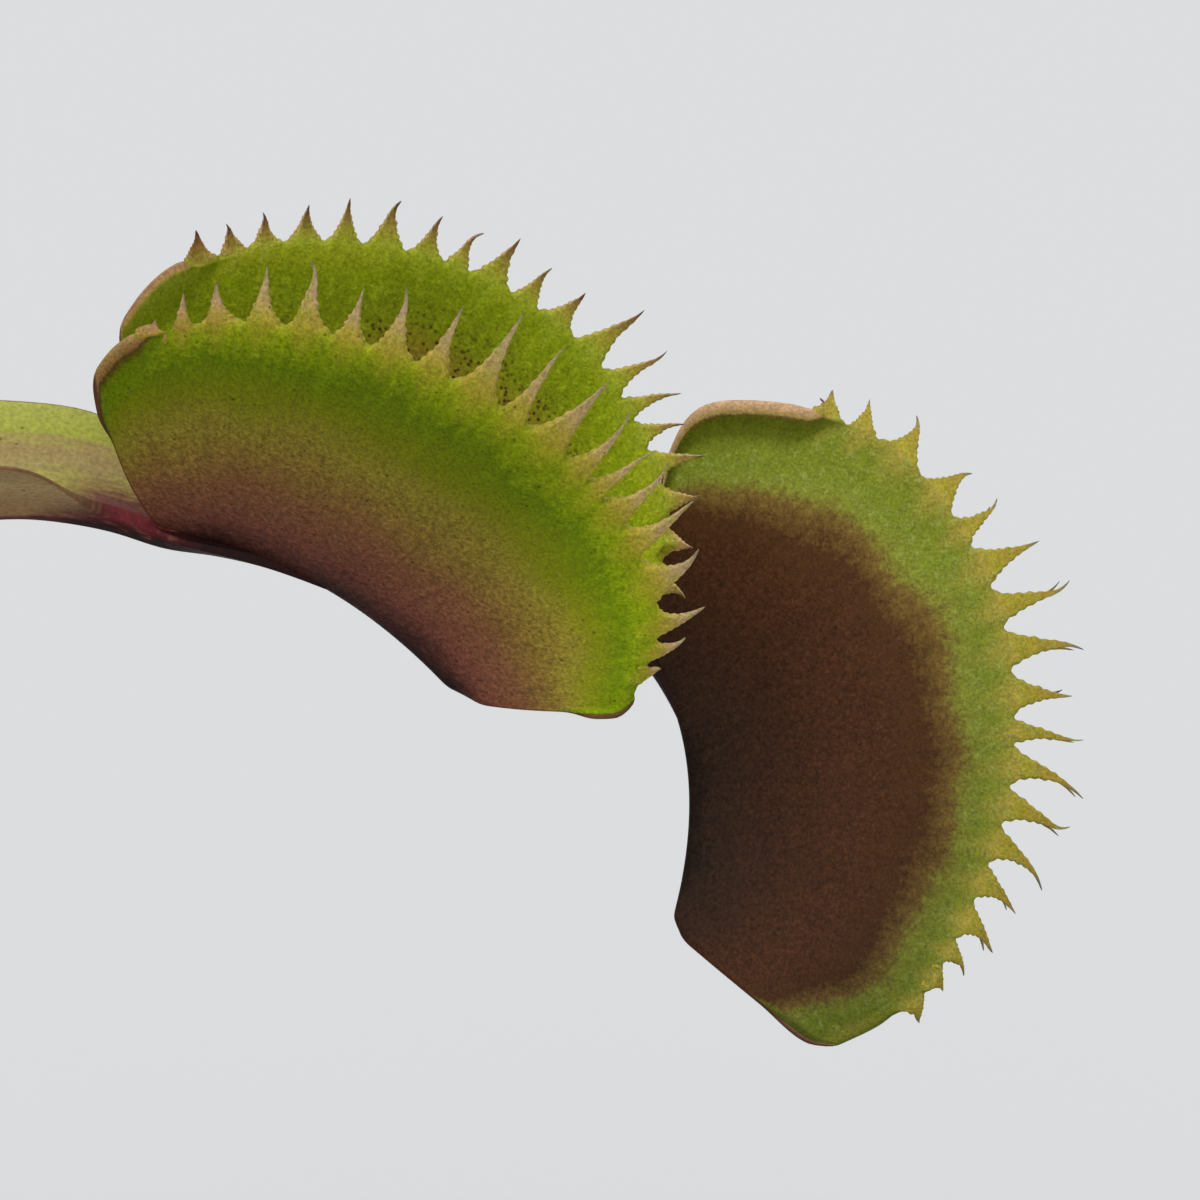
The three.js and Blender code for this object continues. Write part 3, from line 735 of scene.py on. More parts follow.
def make_trap(number, leaf, skins, per_cell, lobe_rows, rings):
    """One trap in its place, with its outer and its inner skin."""
    surface = LobeSurface(leaf)
    sheet = make_blade(f"trap_{number}", leaf, surface, per_cell, lobe_rows)
    grow_teeth(sheet, leaf, surface, per_cell, rings, np.random.default_rng(100 + number))
    rise = read_layer(sheet, "rise")
    ends = np.minimum(read_layer(sheet, "from_stalk_end"), read_layer(sheet, "from_far_end"))
    blade = SHEET + (KEEL - SHEET) * np.clip(1 - rise / 0.12, 0, 1)
    blade *= 0.3 + 0.7 * np.clip(ends / (1.5 * leaf["scale"]), 0, 1)
    teeth = tooth_thickness(np.clip(rise - 1, 0, 1))
    turn, shift = trap_place(leaf)
    write_points(sheet, read_points(sheet) @ turn + shift)
    face_away(sheet)
    for skin in skins:
        sheet.data.materials.append(skin)
    thicken(sheet, KEEL, np.where(rise > 1.001, np.minimum(teeth, blade), blade))
    return sheet


# %% [markdown]
# ## Leaf skin
#
# Living leaf is a wet, translucent tissue under a thin waxy skin: a soft gloss at a roughness near 0.55, an
# index of refraction near 1.4, and light that passes through it, most of all near the margin where the
# blade is thin. So each skin is a Principled shader mixed with a Translucent one. Its colour follows the
# blade's own measures: maroon at the midrib, which the outer skins deepen to near black with painted
# shade, brown to olive up the lobe, green below the teeth, and teeth that fade from yellow-green to tan and
# brown-grey. Textures break it up: a mottle of cells about a quarter of a millimetre wide, lighter flecks,
# fine dark specks, and faint lines that fan out from the midrib.

# %% Leaf skin
LIP_WIDTH = 2.2  # mm, how far the lip's colours reach into the blade


def fine_specks(tree, mm, apart, widest, share):
    """A share of shade in fine specks, some of them missing and no two of a size. Lengths are in mm."""
    spots = add_node(tree, "TexVoronoi", mm, 1 / apart)
    picked = add_node(tree, "SeparateXYZ", spots.node.outputs["Color"])
    size = add_node(tree, "MapRange", picked, 0.4, 1.0, 0.0, widest)
    spots = add_node(tree, "Math", spots, size, operation="LESS_THAN")
    return add_node(tree, "Math", spots, share, operation="MULTIPLY")


def leaf_skin(name, blade, teeth, shift, specks, lip, fleck, gland=None, hem=0.9, far=(0.55, 0.0),
              glow=(0.12, 0.42)):
    """A skin whose colour goes by the attributes. blade and teeth are colour stops from the midrib to the
    margin and from there to the tips, and lip those of the rolled lip; shift moves the blade's stops along
    the margin; specks is how dark the fine dots are; fleck is the colour of the lighter flecks and the
    places where they begin and are full; gland is the colour and the first and last place of the digestive
    glands; hem is where the teeth's colours begin; far is where along the trap a brightness gain towards the
    far end begins, and that gain, which darkens when negative; glow is the share of light from behind at the
    midrib and at the tips."""
    material, tree = new_material(name)
    mm = object_millimetres(tree)
    rise, along, valley, from_lip, stalk_end, far_end = (
        add_node(tree, "Attribute", attribute_name=kept, out="Fac")
        for kept in ("rise", "along", "valley", "lip", "from_stalk_end", "from_far_end"))
    clouds = add_node(tree, "TexNoise", mm, 1 / 3.0, 3.0)
    cells = add_node(tree, "TexNoise", mm, 1 / 0.28, 2.0, 0.7)
    fan = add_node(tree, "CombineXYZ", along, rise)
    fan = add_node(tree, "VectorMath", fan, (90, 3, 1), operation="MULTIPLY")
    lines = add_node(tree, "TexNoise", fan, 1.0, 2.0)

    # where on the blade's stops this point lies
    offset = add_node(tree, "ValToRGB", along, stops=shift)
    moved = rise
    for pattern, gain in ((clouds, 0.14), (cells, 0.1), (lines, 0.04), (offset, 1.0)):
        moved = add_node(tree, "Math", pattern, gain, moved, operation="MULTIPLY_ADD")
    moved = add_node(tree, "Math", moved, 0.64, operation="SUBTRACT")

    # the teeth and the lip
    spike = add_node(tree, "Math", rise, 1.0, operation="SUBTRACT")
    spike = add_node(tree, "ValToRGB", spike, stops=teeth)
    foot = add_node(tree, "Math", valley, -0.07, rise, operation="MULTIPLY_ADD")
    on_tooth = add_node(tree, "MapRange", foot, hem, 1.03)
    rolled = add_node(tree, "Math", cells, 0.2, from_lip, operation="MULTIPLY_ADD")
    rolled = add_node(tree, "Math", rolled, 1 / LIP_WIDTH, operation="MULTIPLY")
    rolled = add_node(tree, "ValToRGB", rolled, stops=lip)
    flat = add_node(tree, "MapRange", rise, 1.0, 1.03, 1.0, 0.0)
    inside_lip = add_node(tree, "MapRange", from_lip, LIP_WIDTH, 0.6 * LIP_WIDTH)
    inside_lip = add_node(tree, "Math", inside_lip, flat, operation="MULTIPLY")
    stains = [(on_tooth, spike), (inside_lip, rolled)]
    if gland:
        gland_colour, low, high = gland
        dots = add_node(tree, "TexVoronoi", mm, 1 / 0.27)
        dots = add_node(tree, "MapRange", dots, 0.38, 0.25, 0.0, 0.9)
        for start, full in ((high, high - 0.12), (low, low + 0.12)):
            inside = add_node(tree, "MapRange", moved, start, full)
            dots = add_node(tree, "Math", dots, inside, operation="MULTIPLY")
        stains.append((dots, linear(gland_colour)))

    # the first teeth at the stalk end are reddish, and lighter tissue shows in flecks, but not on the lip
    young = add_node(tree, "MapRange", along, 0.22, 0.09, 0.0, 0.6)
    young = add_node(tree, "Math", young, on_tooth, operation="MULTIPLY")
    flecks = add_node(tree, "TexNoise", mm, 1 / 0.42, 4.0, 0.75)
    flecks = add_node(tree, "MapRange", flecks, 0.5, 0.66, 0.0, 0.62)
    here = add_node(tree, "MapRange", moved, *fleck[1:])
    flecks = add_node(tree, "Math", flecks, here, operation="MULTIPLY")
    young, flecks = (add_node(tree, "Math", share, inside_lip, operation="SUBTRACT", use_clamp=True)
                     for share in (young, flecks))
    stains += [(young, linear("#a0644c")), (flecks, linear(fleck[0]))]
    colour = add_node(tree, "ValToRGB", moved, stops=blade)
    for share, tone in stains:
        colour = add_node(tree, "Mix", share, colour, tone, data_type="RGBA")

    # a fine mottle, blotches in the ruddy part, a gain in brightness towards the far end, and the faint lines
    fine = add_node(tree, "TexNoise", mm, 1 / 0.13, 2.0)
    mottle = add_node(tree, "Math", cells, 0.45, fine, operation="MULTIPLY_ADD")
    mottle = add_node(tree, "MapRange", mottle, 0.48, 0.97, 0.7, 1.32)
    blotches = add_node(tree, "TexNoise", mm, 1 / 0.22, 4.0, 0.75)
    blotches = add_node(tree, "MapRange", blotches, 0.3, 0.7, -0.5, 0.5)
    ruddy = add_node(tree, "MapRange", moved, 0.74, 0.58)
    blotches = add_node(tree, "Math", blotches, ruddy, 1.0, operation="MULTIPLY_ADD")
    reach = add_node(tree, "MapRange", along, far[0], 0.93, 0.0, far[1])
    zone = add_node(tree, "ValToRGB", rise,
                    stops=[(0.0, 0.3), (0.5, 0.3), (0.78, 1.0), (0.92, 0.95), (1.0, 0.2)])
    shade = add_node(tree, "Math", reach, zone, 1.0, operation="MULTIPLY_ADD")
    fibres = add_node(tree, "MapRange", lines, 0.3, 0.7, 0.93, 1.07)
    for gain in (mottle, blotches, shade, fibres):
        colour = add_node(tree, "VectorMath", colour, gain, operation="SCALE")

    # specks, and the thin dark outline of both ends
    end = add_node(tree, "Math", stalk_end, far_end, operation="MINIMUM")
    end = add_node(tree, "MapRange", end, 0.17, 0.05, 0.0, 0.85)
    for share, tone in ((fine_specks(tree, mm, 0.46, 0.18, specks), "#2a1710"), (end, "#4a2520")):
        colour = add_node(tree, "Mix", share, colour, linear(tone), data_type="RGBA")

    pebbles = add_node(tree, "Math", flecks, 2.0, cells, operation="MULTIPLY_ADD")
    relief = set_surface(tree, pebbles, 0.35, 0.06, Base_Color=colour, Roughness=0.55, IOR=1.4,
                         Specular_IOR_Level=0.16)
    let_light_through(tree, add_node(tree, "MapRange", rise, 0.2, 1.2, *glow), colour, relief)
    return material


# %% Colours of the traps
TAN_TEETH = [(0.0, "#a5982a"), (0.25, "#b09c42"), (0.5, "#b69c6a"), (0.85, "#a89076"), (1.0, "#7e6c62")]
LIME_TEETH = [(0.0, "#9caa2a"), (0.35, "#b0aa40"), (0.65, "#a88c54"), (0.88, "#84604a"), (1.0, "#3f3234")]
OLIVE_TEETH = [(0.0, "#b09a44"), (0.15, "#a89c34"), (0.7, "#ac923a"), (0.9, "#948460"), (1.0, "#6a6462")]
# TAN_LIP and PINK_LIP darken from 0.27 to 0.33 into a line at the lip's inner border: a painted shadow in the
# crease where the rolled lip meets the blade
TAN_LIP = [(0.0, "#a08050"), (0.2, "#92703e"), (0.27, "#5c4420"), (0.33, "#5a5810"), (0.45, "#667606"),
           (1.0, "#647a04")]
PINK_LIP = [(0.0, "#c39c7c"), (0.12, "#b8986c"), (0.22, "#a89054"), (0.27, "#5f4f1c"), (0.33, "#525809"),
            (0.7, "#5c640e"), (1.0, "#727c24")]
THIN_LIP = [(0.0, "#8e5a44"), (0.08, "#a87a5c"), (0.15, "#a08a40"), (0.22, "#6e7808"), (1.0, "#74850a")]
# the first two blade stops, near black at the midrib, are its own maroon deepened by painted shade on the
# underside
front_outer = leaf_skin(
    "leaf_skin_green_to_maroon",
    [(0.0, "#1c0b0b"), (0.07, "#40201a"), (0.18, "#6c3e30"), (0.35, "#7a5034"), (0.5, "#82682e"),
     (0.62, "#847828"), (0.73, "#72760e"), (0.86, "#607402"), (1.0, "#8e9c06")],
    TAN_TEETH, [(0.0, 0.5), (0.2, 0.49), (0.6, 0.5), (0.85, 0.47), (1.0, 0.45)], 0.5,
    TAN_LIP, ("#97a020", 0.8, 0.95), far=(0.58, 1.1))
front_inner = leaf_skin(
    "leaf_lining_green",
    [(0.0, "#7a5c30"), (0.5, "#866824"), (0.63, "#86741e"), (0.73, "#7a840a"), (0.88, "#84940a"),
     (1.0, "#a6a91e")],
    LIME_TEETH, [(0.0, 0.5), (0.3, 0.5), (0.42, 0.42), (0.66, 0.42), (0.8, 0.5)], 0.3,
    THIN_LIP, ("#a6ae22", 0.6, 0.85), gland=("#46240f", 0.1, 0.81), far=(0.4, 0.5), glow=(0.3, 0.5))
# the first two blade stops, near black at the midrib, are its own maroon deepened by painted shade on the
# underside
dark_outer = leaf_skin(
    "leaf_skin_maroon_to_green",
    [(0.0, "#1d110b"), (0.08, "#2f1f15"), (0.3, "#3b2213"), (0.55, "#492a16"), (0.73, "#503118"),
     (0.81, "#765c2a"), (0.87, "#84892e"), (0.93, "#7c8826"), (1.0, "#7a8420")],
    OLIVE_TEETH,
    [(0.0, 0.66), (0.2, 0.64), (0.38, 0.53), (0.5, 0.49), (0.8, 0.47), (0.92, 0.53), (1.0, 0.64)], 0.25,
    PINK_LIP, ("#9aa650", 0.82, 0.9), hem=0.88, far=(0.4, -0.5))
dark_inner = leaf_skin(
    "leaf_lining_wine_red",
    [(0.0, "#4a3a1c"), (0.5, "#5c3020"), (0.8, "#6a4a24"), (0.92, "#7c7c30"), (1.0, "#96903a")],
    OLIVE_TEETH, [(0.0, 0.5), (1.0, 0.5)], 0.3,
    PINK_LIP, ("#8a8436", 0.8, 1.0), gland=("#2a120e", 0.05, 0.8), glow=(0.2, 0.4))

# %% Dress the traps
LARGE_GRID = {"per_cell": 6, "lobe_rows": 20, "rings": 16}
SMALL_GRID = {"per_cell": 4, "lobe_rows": 10, "rings": 7}


def trap_slot(number):
    return "dark_trap_flesh" if number == 2 else "trap_flesh"


for number, leaf in enumerate(LEAVES, 1):
    skins = (dark_outer, dark_inner) if number == 2 else (front_outer, front_inner)
    trap = make_trap(number, leaf, skins, **(LARGE_GRID if number <= 2 else SMALL_GRID))
    finish_piece(trap, trap_slot(number), f"leaf_{number}_trap")
    outside = sum(face.material_index == 0 for face in trap.data.polygons)
    print(trap.name, "faces outside and inside:", outside, len(trap.data.polygons) - outside)

# %% [markdown]
# ## Petioles
#
# A petiole is a stalk with two thin wings, folded up into a V, and a thick round keel below. It could be
# swept along a curve, but its width, thickness and fold change all the way, so it starts as a grid whose
# columns follow the curve and whose rows run from wing tip to wing tip. The grid is the lower skin, and
# Solidify adds the body above it: thick at the keel and a quarter of a millimetre in the wings. The far end
# tapers into the underside of the trap, where both grew together.

# %% Petiole shape
# mm and degrees: half_width is that of the stalk without its wings, and keel is how far the keel hangs down
PETIOLE = {"base_half_width": 1.5, "end_half_width": 1.1, "thickness": 0.7, "base_thickness": 1.5,
           "keel": 0.9, "wing_angle": 38}
JOINT_GAP = 0.65  # mm from the end of the stalk's own line to the midrib's end
ROOTED = 2.0  # mm, how far inside the bulb a stalk starts
JOINT_REACH = 9.5  # mm, how far the keel runs on under the trap


def petiole_line(leaf, count=600):
    """The stalk's centre line at even steps, with its directions and its left side. It runs on along the
    trap's midrib, because both grew together."""
    azimuth, lean = (math.radians(a) for a in leaf["base"])
    outward = bearing(azimuth) * math.sin(lean) + (0, 0, math.cos(lean))
    start = np.array([0, 0, RHIZOME["centre"]]) + outward * (RHIZOME["radius"] + 0.3)
    bend, tip = np.array(leaf["bend"]), np.array(leaf["tip"])
    reach, end = start + outward * leaf["root_reach"], tip + unit(bend - tip) * JOINT_GAP
    t = np.linspace(0, 1, count)[:, None]
    points = (1 - t) ** 3 * start + 3 * (1 - t) ** 2 * t * reach + 3 * (1 - t) * t ** 2 * bend + t ** 3 * end
    length = step_lengths(points).sum()
    last = math.atan2(tip[1] - bend[1], tip[0] - bend[0])
    facing = azimuth + math.atan2(math.sin(last - azimuth), math.cos(last - azimuth)) * t[:, 0]
    left = np.stack([-np.sin(facing), np.cos(facing), np.zeros(count)], -1)

    turn, shift = trap_place(leaf)
    u = np.linspace(0.02, 0.5, 100)
    midrib = LobeSurface(leaf).point(1, u, u, 0.0) @ turn + shift
    blend = np.clip(u / 0.1, 0, 1)[:, None]
    points = np.vstack([start - outward * ROOTED, points, midrib])
    left = np.vstack([left[:1], left, left[-1] * (1 - blend) + turn[1] * blend])
    travel = np.concatenate([[0], np.cumsum(step_lengths(points))]) - ROOTED
    return points, travel, unit(np.gradient(points, travel, axis=0)), left, length


def wing_half_width(leaf, t, s):
    """Half the stalk's width at the fraction t of its length, on the right (s < 0) or the left."""
    t = np.clip(t, 1e-6, 1)
    peak = leaf["wing_peak"]
    past = np.clip((t - peak) / (1 - peak), 0, 1)
    before = np.sin(math.pi / 2 * np.minimum(t / peak, 1)) ** 1.4
    after = np.cos(math.pi / 2 * past) ** leaf["wing_drop"]
    if leaf is LEAVES[0]:
        # its right wing runs out early, and its left one goes on behind the trap
        right = 0.5 + 0.5 * np.cos(math.pi * np.clip((past - 0.26) / 0.48, 0, 1))
        left = 0.95 + 0.05 * np.cos(math.pi / 2 * np.minimum(past / 0.35, 1)) - 0.95 * past ** 9
        after = np.where(s < 0, right, left)
    plain = PETIOLE["base_half_width"] * (1 - t) + PETIOLE["end_half_width"] * t
    return plain + (leaf["wing"] - plain) * np.where(t < peak, before, after)


def make_petiole(number, leaf, skins, stations, rows):
    points, travel, directions, lefts, length = petiole_line(leaf)
    reach = JOINT_REACH * leaf["scale"]
    sheet, column, row = grid_sheet(f"petiole_{number}", stations, rows)
    t_of_column = 1 - (1 - np.arange(stations) / (stations - 1)) ** 1.35
    t_of_column = t_of_column * (1 + reach / length + ROOTED / length) - ROOTED / length
    t = t_of_column[column]
    s = 2 * row / (rows - 1) - 1
    centre, forward, left = (np.stack([np.interp(t * length, travel, values[:, k]) for k in range(3)], -1)
                             for values in (points, directions, lefts))
    forward = unit(forward)
    left = unit(left - (left * forward).sum(1, keepdims=True) * forward)
    past = np.clip((t - 1) * length / reach, 0, 1)
    roll = np.radians(-leaf["petiole_roll"] * (1 - past))[:, None]
    left = left * np.cos(roll) + np.cross(forward, left) * np.sin(roll)
    up = np.cross(forward, left)

    width = wing_half_width(leaf, t, s) * (1 - 0.93 * past)
    thinner = PETIOLE["thickness"] - PETIOLE["base_thickness"]
    skin = PETIOLE["base_thickness"] + thinner * np.clip(4 * t, 0, 1)
    fold = math.radians(PETIOLE["wing_angle"])
    out = np.abs(s) * width
    keel = np.exp(-out ** 2)
    low = out * math.sin(fold) - 0.5 * skin - (PETIOLE["keel"] - 0.5 * skin) * keel
    # the keel is flatter near the trap, and it closes in on the midrib under it
    low += 0.25 * np.clip((t - 0.9) / 0.08, 0, 1) * keel
    low = low * (1 - past ** 1.5) + 0.4 * past ** 1.5
    ripple = 0.0 if number <= 2 else 0.05 * leaf["wing"]
    low += ripple * np.sin(34 * t + 2.4 * number + np.sign(s)) * s ** 4 * np.sin(math.pi * np.clip(t, 0, 1))
    write_points(sheet, centre + left * (s * width * math.cos(fold))[:, None] + up * low[:, None])
    face_away(sheet)
    for finish in skins:
        sheet.data.materials.append(finish)
    write_layers(sheet, {"along": t, "from_keel": out, "from_edge": width - out})
    rim = 0.12 + 0.15 * skin
    middle = PETIOLE["keel"] + 0.6 * skin
    thickness = (rim + (middle - rim) * np.exp(-(out / 1.4) ** 2)) * (1 - 0.75 * past)
    thicken(sheet, float(thickness.max()), thickness)
    return sheet


# %% Petiole skin


def petiole_skin(name, across, joint, glow=0.3):
    """across is the colour stops from the keel outwards, on a scale of 7 mm, and joint the same near the
    trap, on a scale of 2 mm; glow is the share of light from behind."""
    material, tree = new_material(name)
    mm = object_millimetres(tree)
    along, out, to_edge = (add_node(tree, "Attribute", attribute_name=kept, out="Fac")
                           for kept in ("along", "from_keel", "from_edge"))
    plane = add_node(tree, "CombineXYZ", along, out)
    veins, wrinkles = (
        add_node(tree, "TexNoise", add_node(tree, "VectorMath", plane, stretch, operation="MULTIPLY"),
                 1.0, detail, roughness)
        for stretch, detail, roughness in (((14, 2.2, 1), 3.0, 0.5), ((75, 4.5, 1), 4.0, 0.65)))
    clouds = add_node(tree, "TexNoise", mm, 1 / 2.5, 4.0, 0.65)
    cells = add_node(tree, "TexNoise", mm, 1 / 0.2, 2.0)

    # colour by the distance from the keel, with a border that wanders
    wander = add_node(tree, "Math", veins, clouds, operation="ADD")
    wander = add_node(tree, "Math", wander, 1.8, -1.8, operation="MULTIPLY_ADD")
    place = add_node(tree, "Math", wander, out, operation="ADD")
    place = add_node(tree, "Math", place, 1 / 7, operation="MULTIPLY")
    colour = add_node(tree, "ValToRGB", place, stops=across)
    on_edge = add_node(tree, "MapRange", to_edge, 0.12, 0.03, 0.0, 0.6)
    # the pinched red flesh beside the trap, with painted highlights as pale streaks along its wrinkles
    near = add_node(tree, "Math", wrinkles, 1.5, out, operation="MULTIPLY_ADD")
    near = add_node(tree, "Math", near, 0.5, -0.37, operation="MULTIPLY_ADD")
    flesh = add_node(tree, "ValToRGB", near, stops=joint)
    at_joint = add_node(tree, "MapRange", along, 0.93, 0.965)
    on_stalk = add_node(tree, "MapRange", near, 1.3, 0.6)
    at_joint = add_node(tree, "Math", at_joint, on_stalk, operation="MULTIPLY")
    painted_wrinkle_highlight = add_node(tree, "MapRange", wrinkles, 0.54, 0.66, 0.0, 0.5)
    above = add_node(tree, "MapRange", near, 0.32, 0.44)
    for share in (at_joint, above):
        painted_wrinkle_highlight = add_node(tree, "Math", painted_wrinkle_highlight, share, operation="MULTIPLY")
    # near black where the stalk runs on under the trap: its own dark red deepened by painted shade
    painted_shade_under_trap = add_node(tree, "MapRange", along, 1.0, 1.03)
    in_soil = add_node(tree, "MapRange", along, 0.16, 0.02)
    for share, tone in ((on_edge, linear("#6a4034")), (at_joint, flesh), (painted_wrinkle_highlight, linear("#a87458")),
                        (painted_shade_under_trap, linear("#2a1412")), (in_soil, linear("#c9c98e"))):
        colour = add_node(tree, "Mix", share, colour, tone, data_type="RGBA")
    mottle = add_node(tree, "MapRange", cells, 0.3, 0.7, 0.8, 1.2)
    colour = add_node(tree, "VectorMath", colour, mottle, operation="SCALE")
    colour = add_node(tree, "Mix", fine_specks(tree, mm, 0.9, 0.15, 0.5), colour, linear("#33210f"),
                      data_type="RGBA")
    ridges = add_node(tree, "Math", at_joint, wrinkles, veins, operation="MULTIPLY_ADD")
    set_surface(tree, ridges, 0.4, 0.12, Base_Color=colour, Roughness=0.5, IOR=1.4, Specular_IOR_Level=0.2)
    let_light_through(tree, glow, colour)
    return material


# CRIMSON's two darkest stops, nearest the keel, are its own dark red deepened by painted shade under it
CRIMSON = [(0.0, "#241010"), (0.27, "#2c1413"), (0.4, "#54191f"), (0.52, "#682429"), (0.68, "#4c2824")]
WINE = [(0.0, "#5a2226"), (0.25, "#4a2224"), (0.42, "#684040"), (0.6, "#6c4034")]
front_petiole = (
    petiole_skin(
        "petiole_underside_purple_keel",
        [(0.0, "#54181f"), (0.06, "#662232"), (0.14, "#a07e58"), (0.5, "#b49868"), (0.85, "#9c7e54")],
        CRIMSON),
    petiole_skin(
        "petiole_channel_yellow_green",
        [(0.0, "#a4a048"), (0.19, "#a9a648"), (0.34, "#9c8c58"), (0.48, "#9e8858"), (0.59, "#a2a644"),
         (1.0, "#b0b05c")],
        WINE, 0.4))
green_petiole = (
    petiole_skin(
        "petiole_underside_green",
        [(0.0, "#7c4034"), (0.1, "#80603a"), (0.25, "#748034"), (0.7, "#6f7e30"), (0.9, "#7c7038")],
        CRIMSON),
    petiole_skin(
        "petiole_channel_green",
        [(0.0, "#90a248"), (0.3, "#819838"), (0.7, "#86963c"), (0.9, "#8c8040")],
        CRIMSON, 0.4))

# %% Dress the petioles
for number, leaf in enumerate(LEAVES, 1):
    skins, stations, rows = (front_petiole, 72, 25) if number <= 2 else (green_petiole, 48, 17)
    petiole = make_petiole(number, leaf, skins, stations, rows)
    finish_piece(petiole, "petiole_flesh", f"leaf_{number}_petiole")
    print(petiole.name, "faces:", len(petiole.data.polygons))

# %% [markdown]
# ## Pot
#
# A nursery pot is moulded in thin polypropylene: a plain tapered wall, a stepped rim band that stiffens
# it, a flat floor with round drain holes, and small radii everywhere the mould had them. It is a body of
# revolution, so it starts as a circle of points that is extruded and scaled ring by ring from the outside
# of the floor, up the wall, over the rim and down the inside.

# %% Pot shape
# in mm; edge is the solid's own chamfer at the rim band, and mould_radius the small rounding of all edges
POT = {"height": 80.0, "rim_radius": 47.5, "neck_radius": 44.6, "base_radius": 33.5, "wall": 1.5,
       "floor": 2.0, "rim_height": 9.0, "rim_taper": 0.2, "edge": 0.5, "foot_bevel": 1.2,
       "drains": 6, "drain_radius": 3.0, "drain_circle": 22.0, "mould_radius": 0.22}
GROOVE = {"from_edge": 2.2, "slope": 0.4, "depth": 0.25}  # mm, the shallow step round the rim band
ROUND = 144  # sides of a full turn


def turned(name, rings, sides=ROUND):
    """A body of revolution from (radius, height) rings in mm, by extruding a circle ring by ring."""
    deselect_all()
    (radius, height), *others = rings
    bpy.ops.mesh.primitive_circle_add(vertices=sides, radius=radius * MM, location=(0, 0, height * MM),
                                      fill_type="NGON")
    body = bpy.context.object
    bpy.ops.object.transform_apply(location=True, rotation=True, scale=True)
    body.name = body.data.name = name
    bpy.ops.object.mode_set(mode="EDIT")
    bpy.context.tool_settings.mesh_select_mode = (False, True, False)
    bpy.ops.mesh.select_all(action="SELECT")
    bpy.ops.mesh.region_to_loop()
    for next_radius, next_height in others:
        bpy.ops.mesh.extrude_region_move(
            TRANSFORM_OT_translate={"value": (0, 0, (next_height - height) * MM)})
        factor = next_radius / radius
        bpy.ops.transform.resize(value=(factor, factor, 1), center_override=(0, 0, next_height * MM))
        radius, height = next_radius, next_height
    bpy.ops.mesh.edge_face_add()
    bpy.ops.mesh.select_all(action="SELECT")
    bpy.ops.mesh.normals_make_consistent(inside=False)
    bpy.ops.object.mode_set(mode="OBJECT")
    return body


def wall_radius(z):
    share = z / (POT["height"] - POT["rim_height"])
    return POT["base_radius"] + (POT["neck_radius"] - POT["base_radius"]) * share


neck = POT["height"] - POT["rim_height"]
rim, wall, edge = POT["rim_radius"], POT["wall"], POT["edge"]
groove, sloped = GROOVE["from_edge"], GROOVE["from_edge"] + GROOVE["slope"]
pot = turned("nursery_pot", [
    (POT["base_radius"] - POT["foot_bevel"], 0), (POT["base_radius"], POT["foot_bevel"]),
    *[(wall_radius(z), z) for z in (14, 28, 42, 56)],
    (POT["neck_radius"], neck - 2 * edge), (rim - edge, neck), (rim, neck + edge),
    (rim, neck + groove), (rim - GROOVE["depth"], neck + sloped),
    (rim - GROOVE["depth"], POT["height"] - sloped), (rim, POT["height"] - groove),
    (rim, POT["height"] - edge), (rim - edge, POT["height"]), (rim - wall, POT["height"]),
    (rim - wall - POT["rim_taper"], neck + wall), (POT["neck_radius"] - wall, neck - edge),
    (wall_radius(POT["floor"]) - wall, POT["floor"]),
])

for i in range(POT["drains"]):
    x, y, _ = bearing(2 * math.pi * (i + 0.5) / POT["drains"]) * POT["drain_circle"] * MM
    deselect_all()
    bpy.ops.mesh.primitive_cylinder_add(vertices=40, radius=POT["drain_radius"] * MM,
                                        depth=3 * POT["floor"] * MM, location=(x, y, 0))
    drill = bpy.context.object
    cut = pot.modifiers.new("drain", "BOOLEAN")
    cut.operation = "DIFFERENCE"
    cut.solver = "EXACT"
    cut.object = drill
    apply_modifiers(pot)
    bpy.data.objects.remove(drill)
rounding = pot.modifiers.new("mould_radii", "BEVEL")
rounding.width = POT["mould_radius"] * MM
rounding.segments = 2
rounding.limit_method = "ANGLE"
rounding.angle_limit = math.radians(32)
apply_modifiers(pot)
print("pot faces:", len(pot.data.polygons))

# %% Pot plastic
# Polypropylene moulded on a fine-grained tool: an even satin at a roughness near 0.5, slightly dusty.
plastic, tree = new_material("moulded_brown_polypropylene")
mm = object_millimetres(tree)
grain = add_node(tree, "TexNoise", mm, 1 / 0.5, 2.0)
cloud = add_node(tree, "TexNoise", mm, 1 / 14, 5.0, 0.65)
scuffs = add_node(tree, "VectorMath", mm, (0.25, 0.25, 2.2), operation="MULTIPLY")
scuffs = add_node(tree, "TexNoise", scuffs, 1.0, 4.0, 0.7)
scuffs = add_node(tree, "MapRange", scuffs, 0.62, 0.74, 0.0, 0.35)
dusty = add_node(tree, "MapRange", cloud, 0.48, 0.7, 0.0, 0.35)
splash = add_node(tree, "MapRange", add_node(tree, "SeparateXYZ", mm, out="Z"), 22.0, 0.0, 0.35, 1.6)
dusty = add_node(tree, "Math", dusty, splash, operation="MULTIPLY")
colour = linear("#4c362b")
for share, tone in ((dusty, "#86705c"), (scuffs, "#6f5a4d")):
    colour = add_node(tree, "Mix", share, colour, linear(tone), data_type="RGBA")
shine = add_node(tree, "MapRange", cloud, 0.3, 0.7, 0.38, 0.58)
set_surface(tree, grain, 0.25, 0.08, Base_Color=colour, Roughness=shine)
pot.data.materials.append(plastic)
finish_piece(pot, "pot_plastic", "pot", crease=40)

# %% [markdown]
# ## Soil
#
# The mix is moist peat with perlite: a crumbly, uneven surface that dips round the crown. The ground is a
# turned sheet whose points are lifted by the same height formula as the solid's, with finer lumps on top.
# Crumbs, perlite grains and moss are one small shape each, copied with its own size and turn by a seeded
# draw, set a little into the ground.

